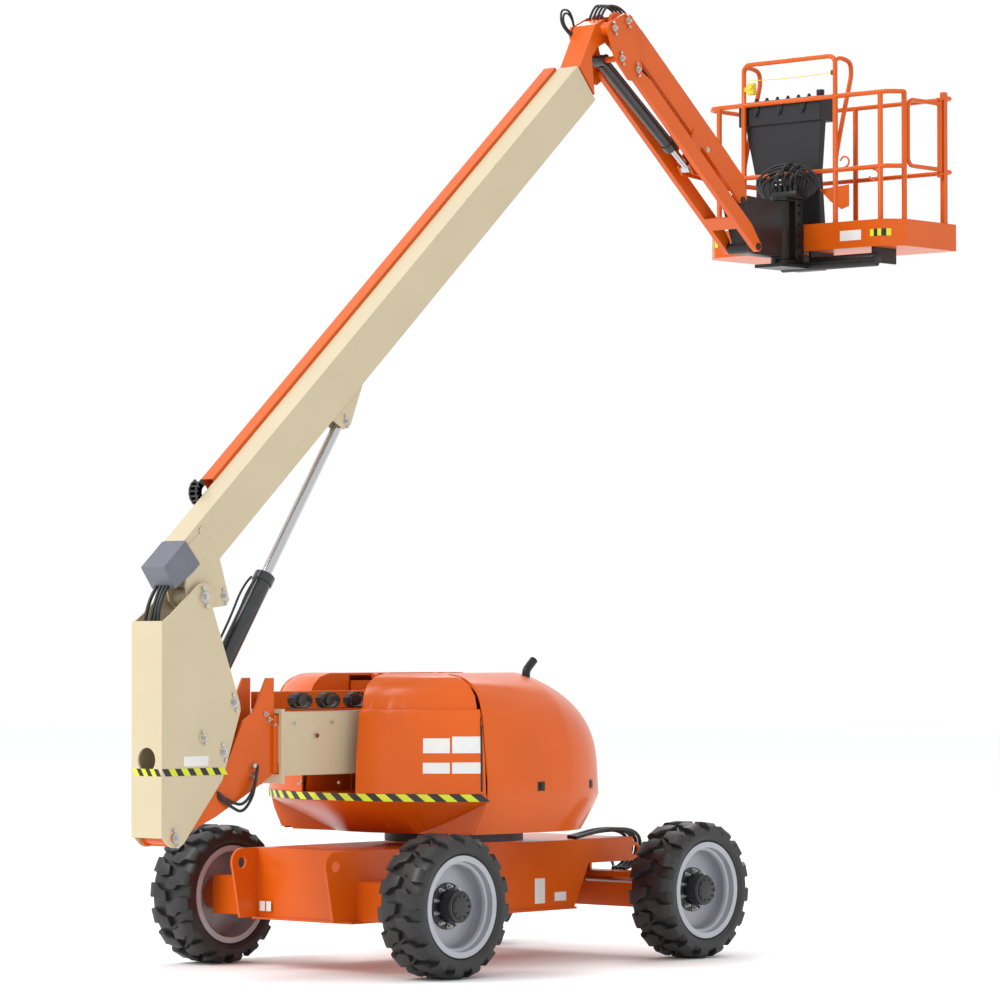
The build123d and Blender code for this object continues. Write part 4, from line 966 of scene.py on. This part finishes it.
sides = (("right", -1), ("left", 1))
for side_name, side in sides:
    stripe_band(
        f"upright_band_{side_name}",
        (-2.834, side * 0.1382, 1.31),
        (1, 0, 0),
        (0, 0, 0.046),
        10,
        0.0545,
        -0.034,
        "upright_post",
    )
stripe_band(
    "upright_band_rear",
    (-2.8703, -0.134, 1.31),
    (0, 1, 0),
    (0, 0, 0.046),
    6,
    0.039,
    0.03,
    "upright_post",
)
upright_tag = bmesh.new()
slab(upright_tag, (-2.677, -0.1386, 1.368), (-2.461, -0.1374, 1.432), 0.0004)
shown("upright_tag", upright_tag, blank_white, "upright_post")
upright_pins = bmesh.new()
for side in (-1, 1):
    for x, y, z, size in (
        (-2.506, 0.149, 2.438, 0.034),
        (-2.516, 0.149, 1.547, 0.022),
        (-2.231, 0.137, 1.768, 0.030),
        (-2.327, 0.137, 1.452, 0.030),
        (-2.760, 0.151, 0.921, 0.030),
    ):
        pin_head(upright_pins, x, side * y, z, size)
shown("upright_pins", upright_pins, zinc, "upright_post")

# Main boom
# A long cream box with plugged holes. Its open hose tray is orange and shows the end of a
# link track, and a dark grey sheet cover closes its rear end.
dress("main_base_boom", cream, bevel=0.004)
grey = finish("blue grey sheet", (0.13, 0.138, 0.17), 0.38, spread=0.08, scale=6)
dress("boom_cover", grey, bevel=0.006)
dress("hose_tray", orange, bevel=0.002)
dress("main_fly_boom", orange, bevel=0.004)
dress("main_fly_nose", orange, bevel=0.004)
boom_turn = math.radians(41.6)
boom_foot = Vector((-2.506, 0, 2.438))


def on_boom(along, y, above):
    """A point given along the main boom, across it and above its line."""
    x = boom_foot.x + along * math.cos(boom_turn) - above * math.sin(boom_turn)
    z = boom_foot.z + along * math.sin(boom_turn) + above * math.cos(boom_turn)
    return Vector((x, y, z))


boom_pins = bmesh.new()
for side in (-1, 1):
    spot = on_boom(0.171, side * 0.095, -0.141)
    pin_head(boom_pins, spot.x, spot.y, spot.z, 0.026)
    spot = on_boom(1.808, side * 0.060, -0.043)
    pin_head(boom_pins, spot.x, spot.y, spot.z, 0.022)
shown("boom_pins", boom_pins, zinc, "main_base")
boom_plugs = bmesh.new()
for side in (-1, 1):
    for along, y, above in (
        (0.30, 0.0951, 0.30),
        (0.20, 0.0951, 0.13),
        (3.3, 0.0901, 0.335),
        (3.7, 0.0901, 0.335),
        (4.1, 0.0901, 0.335),
        (4.5, 0.0901, 0.335),
    ):
        drum(boom_plugs, on_boom(along, side * y, above), (0, side, 0), 0.024, 0.0015, sides=24)
shown("boom_plugs", boom_plugs, cream, "main_base")

loop = bmesh.new()
loop_radius = 0.068
for index in range(9):
    angle = math.radians(90 + index * 22)
    along = 0.64 + loop_radius * math.cos(angle)
    above = 0.335 + loop_radius * math.sin(angle)
    turn = Matrix.Rotation(-(angle + boom_turn), 4, "Y")
    for y in (0.105, 0.165):
        tilted_block(loop, on_boom(along, y, above), turn, (0.045, 0.016, 0.05))
    tilted_block(loop, on_boom(along, 0.135, above), turn, (0.04, 0.06, 0.012))
shown("boom_hose_track", loop, hub_black, "main_base")

# Jib
# Orange plates and box arms, pinned to each other, with a dark moulded hose cover on top and
# bright pin ends.
for node in ("jib_head", "jib_beam", "jib_links"):
    dress(node, orange, bevel=0.003)
plastic = finish(
    "black moulded plastic",
    (0.013, 0.013, 0.015),
    0.5,
    spread=0.12,
    scale=12,
    bump=0.12,
    shine=0.35,
)
dress("jib_cover", plastic, bevel=0.004)
head_pins = bmesh.new()
for side in (-1, 1):
    for x, z in ((1.466, 6.473), (1.615, 6.539), (1.546, 6.268), (1.723, 6.204)):
        pin_head(head_pins, x, side * 0.193, z, 0.024)
shown("head_pins", head_pins, zinc, "head")
jib_turn = math.radians(-39.21)
jib_length = 1.2985
jib_end_x = 1.615 + jib_length * math.cos(jib_turn)
jib_end_z = 6.539 + jib_length * math.sin(jib_turn)
jib_bolts = bmesh.new()
for side in (-1, 1):
    end = (jib_end_x, side * 0.100, jib_end_z)
    drum(jib_bolts, end, (0, side, 0), 0.02, 0.004, sides=20)
    drum(jib_bolts, end, (0, side, 0), 0.012, 0.012, sides=6)
shown("jib_bolts", jib_bolts, zinc, "jib")

# Platform support and mount
# Black castings and plates round the rotator, with bolts, a block of valves and a small bank
# of bright fittings.
dress("platform_support", black_paint, bevel=0.004)
dress("platform_mount", black_paint, bevel=0.004)
valves = bmesh.new()
slab(valves, (3.64, -0.12, 5.44), (3.77, 0.12, 5.50), 0.006)
for y in (-0.09, -0.05, 0.0, 0.05, 0.09):
    drum(valves, (3.72, y, 5.50), (0, 0, 1), 0.014, 0.03, sides=12)
    drum(valves, (3.67, y, 5.50), (0, 0, 1), 0.018, 0.05, sides=14)
for z in (5.02, 5.10, 5.18, 5.26, 5.34, 5.40):
    for y in (-0.072, 0.072):
        drum(valves, (3.75, y, z), (0, math.copysign(1, y), 0), 0.012, 0.014, sides=6)
shown("platform_valves", valves, black_paint, "platform")
fittings = bmesh.new()
for z in (5.525, 5.560, 5.595, 5.630):
    drum(fittings, (3.700, 0.135, z), (0, -1, 0), 0.012, 0.030, sides=6)
    drum(fittings, (3.700, 0.105, z), (0, -1, 0), 0.009, 0.050, sides=16)
block = bmesh.new()
slab(block, (3.680, 0.130, 5.49), (3.730, 0.165, 5.655), 0.005)
shown("valve_bank", block, black_paint, "platform")
shown("valve_fittings", fittings, zinc, "platform")

# Platform
# Orange steel deck, toe boards and tube rails, with warning bars, a blank plate, two hooks and
# a web. The hoop has bent braces, and carries a yellow reel for its line.
dress("platform_floor", orange, bevel=0.0015)
for node in ("platform_rails", "gate"):
    dress(node, orange, bevel=0.0, angle=40)
for side_name, side in sides:
    stripe_band(
        f"toe_bars_{side_name}",
        (3.7986, side * 0.683, 5.135),
        (0, side, 0),
        (0, 0, 0.052),
        3,
        0.034,
        0.0,
        "platform",
        first=1,
    )
    corner = Vector((3.7990, side * 0.786, 5.135))
    stripe_band(
        f"corner_bars_{side_name}",
        corner + Vector((0, side * 0.0012, 0)),
        Vector((1, side, 0)).normalized(),
        (0, 0, 0.052),
        2,
        0.036,
        0.0,
        "platform",
    )
toe_tag = bmesh.new()
slab(toe_tag, (3.7984, -0.600, 5.115), (3.7996, -0.405, 5.190), 0.0004)
shown("toe_tag", toe_tag, blank_white, "platform")
reel = bmesh.new()
slab(reel, (3.806, 0.415, 6.275), (3.850, 0.478, 6.365), 0.008)
drum(reel, (3.806, 0.447, 6.335), (-1, 0, 0), 0.026, 0.010, sides=24, edge=0.003)
slab(reel, (3.812, 0.470, 6.300), (3.840, 0.508, 6.335), 0.003)
shown("hoop_reel", reel, yellow_cord, "platform")


def tube(name, points, radius):
    """A bent orange tube through these points on the platform, closed at its ends."""
    line = smooth_line(name, points, 10)
    line.bevel_depth = radius
    line.bevel_resolution = 6
    line.use_fill_caps = True
    carrier = bpy.data.objects.new(name, line)
    scene.collection.objects.link(carrier)
    bpy.context.view_layer.update()
    work = bmesh.new()
    work.from_mesh(bpy.data.meshes.new_from_object(carrier))
    bpy.data.objects.remove(carrier)
    shown(name, work, orange, "platform")


for name, y in (("hoop_brace_right", -0.344), ("hoop_brace_left", 0.520)):
    tube(
        name,
        [
            (3.826, y, 6.470),
            (3.86, y, 6.492),
            (3.93, y, 6.490),
            (4.015, y, 6.47),
            (4.025, y, 6.38),
            (4.00, y, 6.30),
            (3.93, y, 6.08),
            (3.87, y, 5.88),
            (3.832, y, 5.74),
            (3.826, y, 5.68),
        ],
        0.0175,
    )
curl_radius = 0.042
for name, y, z, turn in (("hook_near", -0.43, 5.705, 1), ("hook_side", -0.70, 5.590, -1)):
    curl = []
    for step in range(8):
        angle = math.radians(-100 + step * 38) * turn
        curl.append(
            (3.826, y - curl_radius * math.cos(angle), z + curl_radius * math.sin(angle))
        )
    tube(name, curl, 0.007)
web = bmesh.new()
prism(
    web,
    [(-0.20, 5.515), (-0.470, 5.535), (-0.470, 5.375), (-0.40, 5.355), (-0.30, 5.42)],
    3.822,
    3.828,
)
shown("rail_web", web, orange, "platform")
foot = bmesh.new()
drum(foot, (3.840, -0.13, 4.975), (0, -1, 0), 0.042, 0.59, sides=40, edge=0.004)
drum(foot, (3.840, -0.705, 4.975), (0, -1, 0), 0.046, 0.012, sides=40, edge=0.003)
shown("foot_tube", foot, black_paint, "platform")
line_end = bmesh.new()
slab(line_end, (3.812, -0.336, 6.362), (3.842, -0.310, 6.398), 0.004)
shown("hoop_line_end", line_end, red_plug, "platform")

# Console
# A black moulded box on a tapering back panel, with a row of small knobs on its lid and
# clasps that hold the lid shut.
dress("console", plastic, bevel=0.008, segments=3)
knobs = bmesh.new()
lid_top = 6.224
for index in range(7):
    y = -0.12 + index * 0.10
    drum(knobs, (3.93, y, lid_top), (0, 0, 1), 0.016, 0.022, sides=16, edge=0.003)
    drum(knobs, (3.93, y, 6.246), (0, 0, 1), 0.011, 0.012, sides=16, edge=0.003)
drum(knobs, (3.90, -0.15, lid_top), (0, 0, 1), 0.030, 0.05, sides=20, edge=0.006)
for y in (-0.02, 0.20, 0.42):
    slab(knobs, (3.838, y - 0.03, 6.13), (3.850, y + 0.03, 6.20), 0.003)
    slab(knobs, (3.832, y - 0.015, 6.11), (3.842, y + 0.015, 6.17), 0.003)
shown("console_knobs", knobs, plastic, "platform")

low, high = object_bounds()
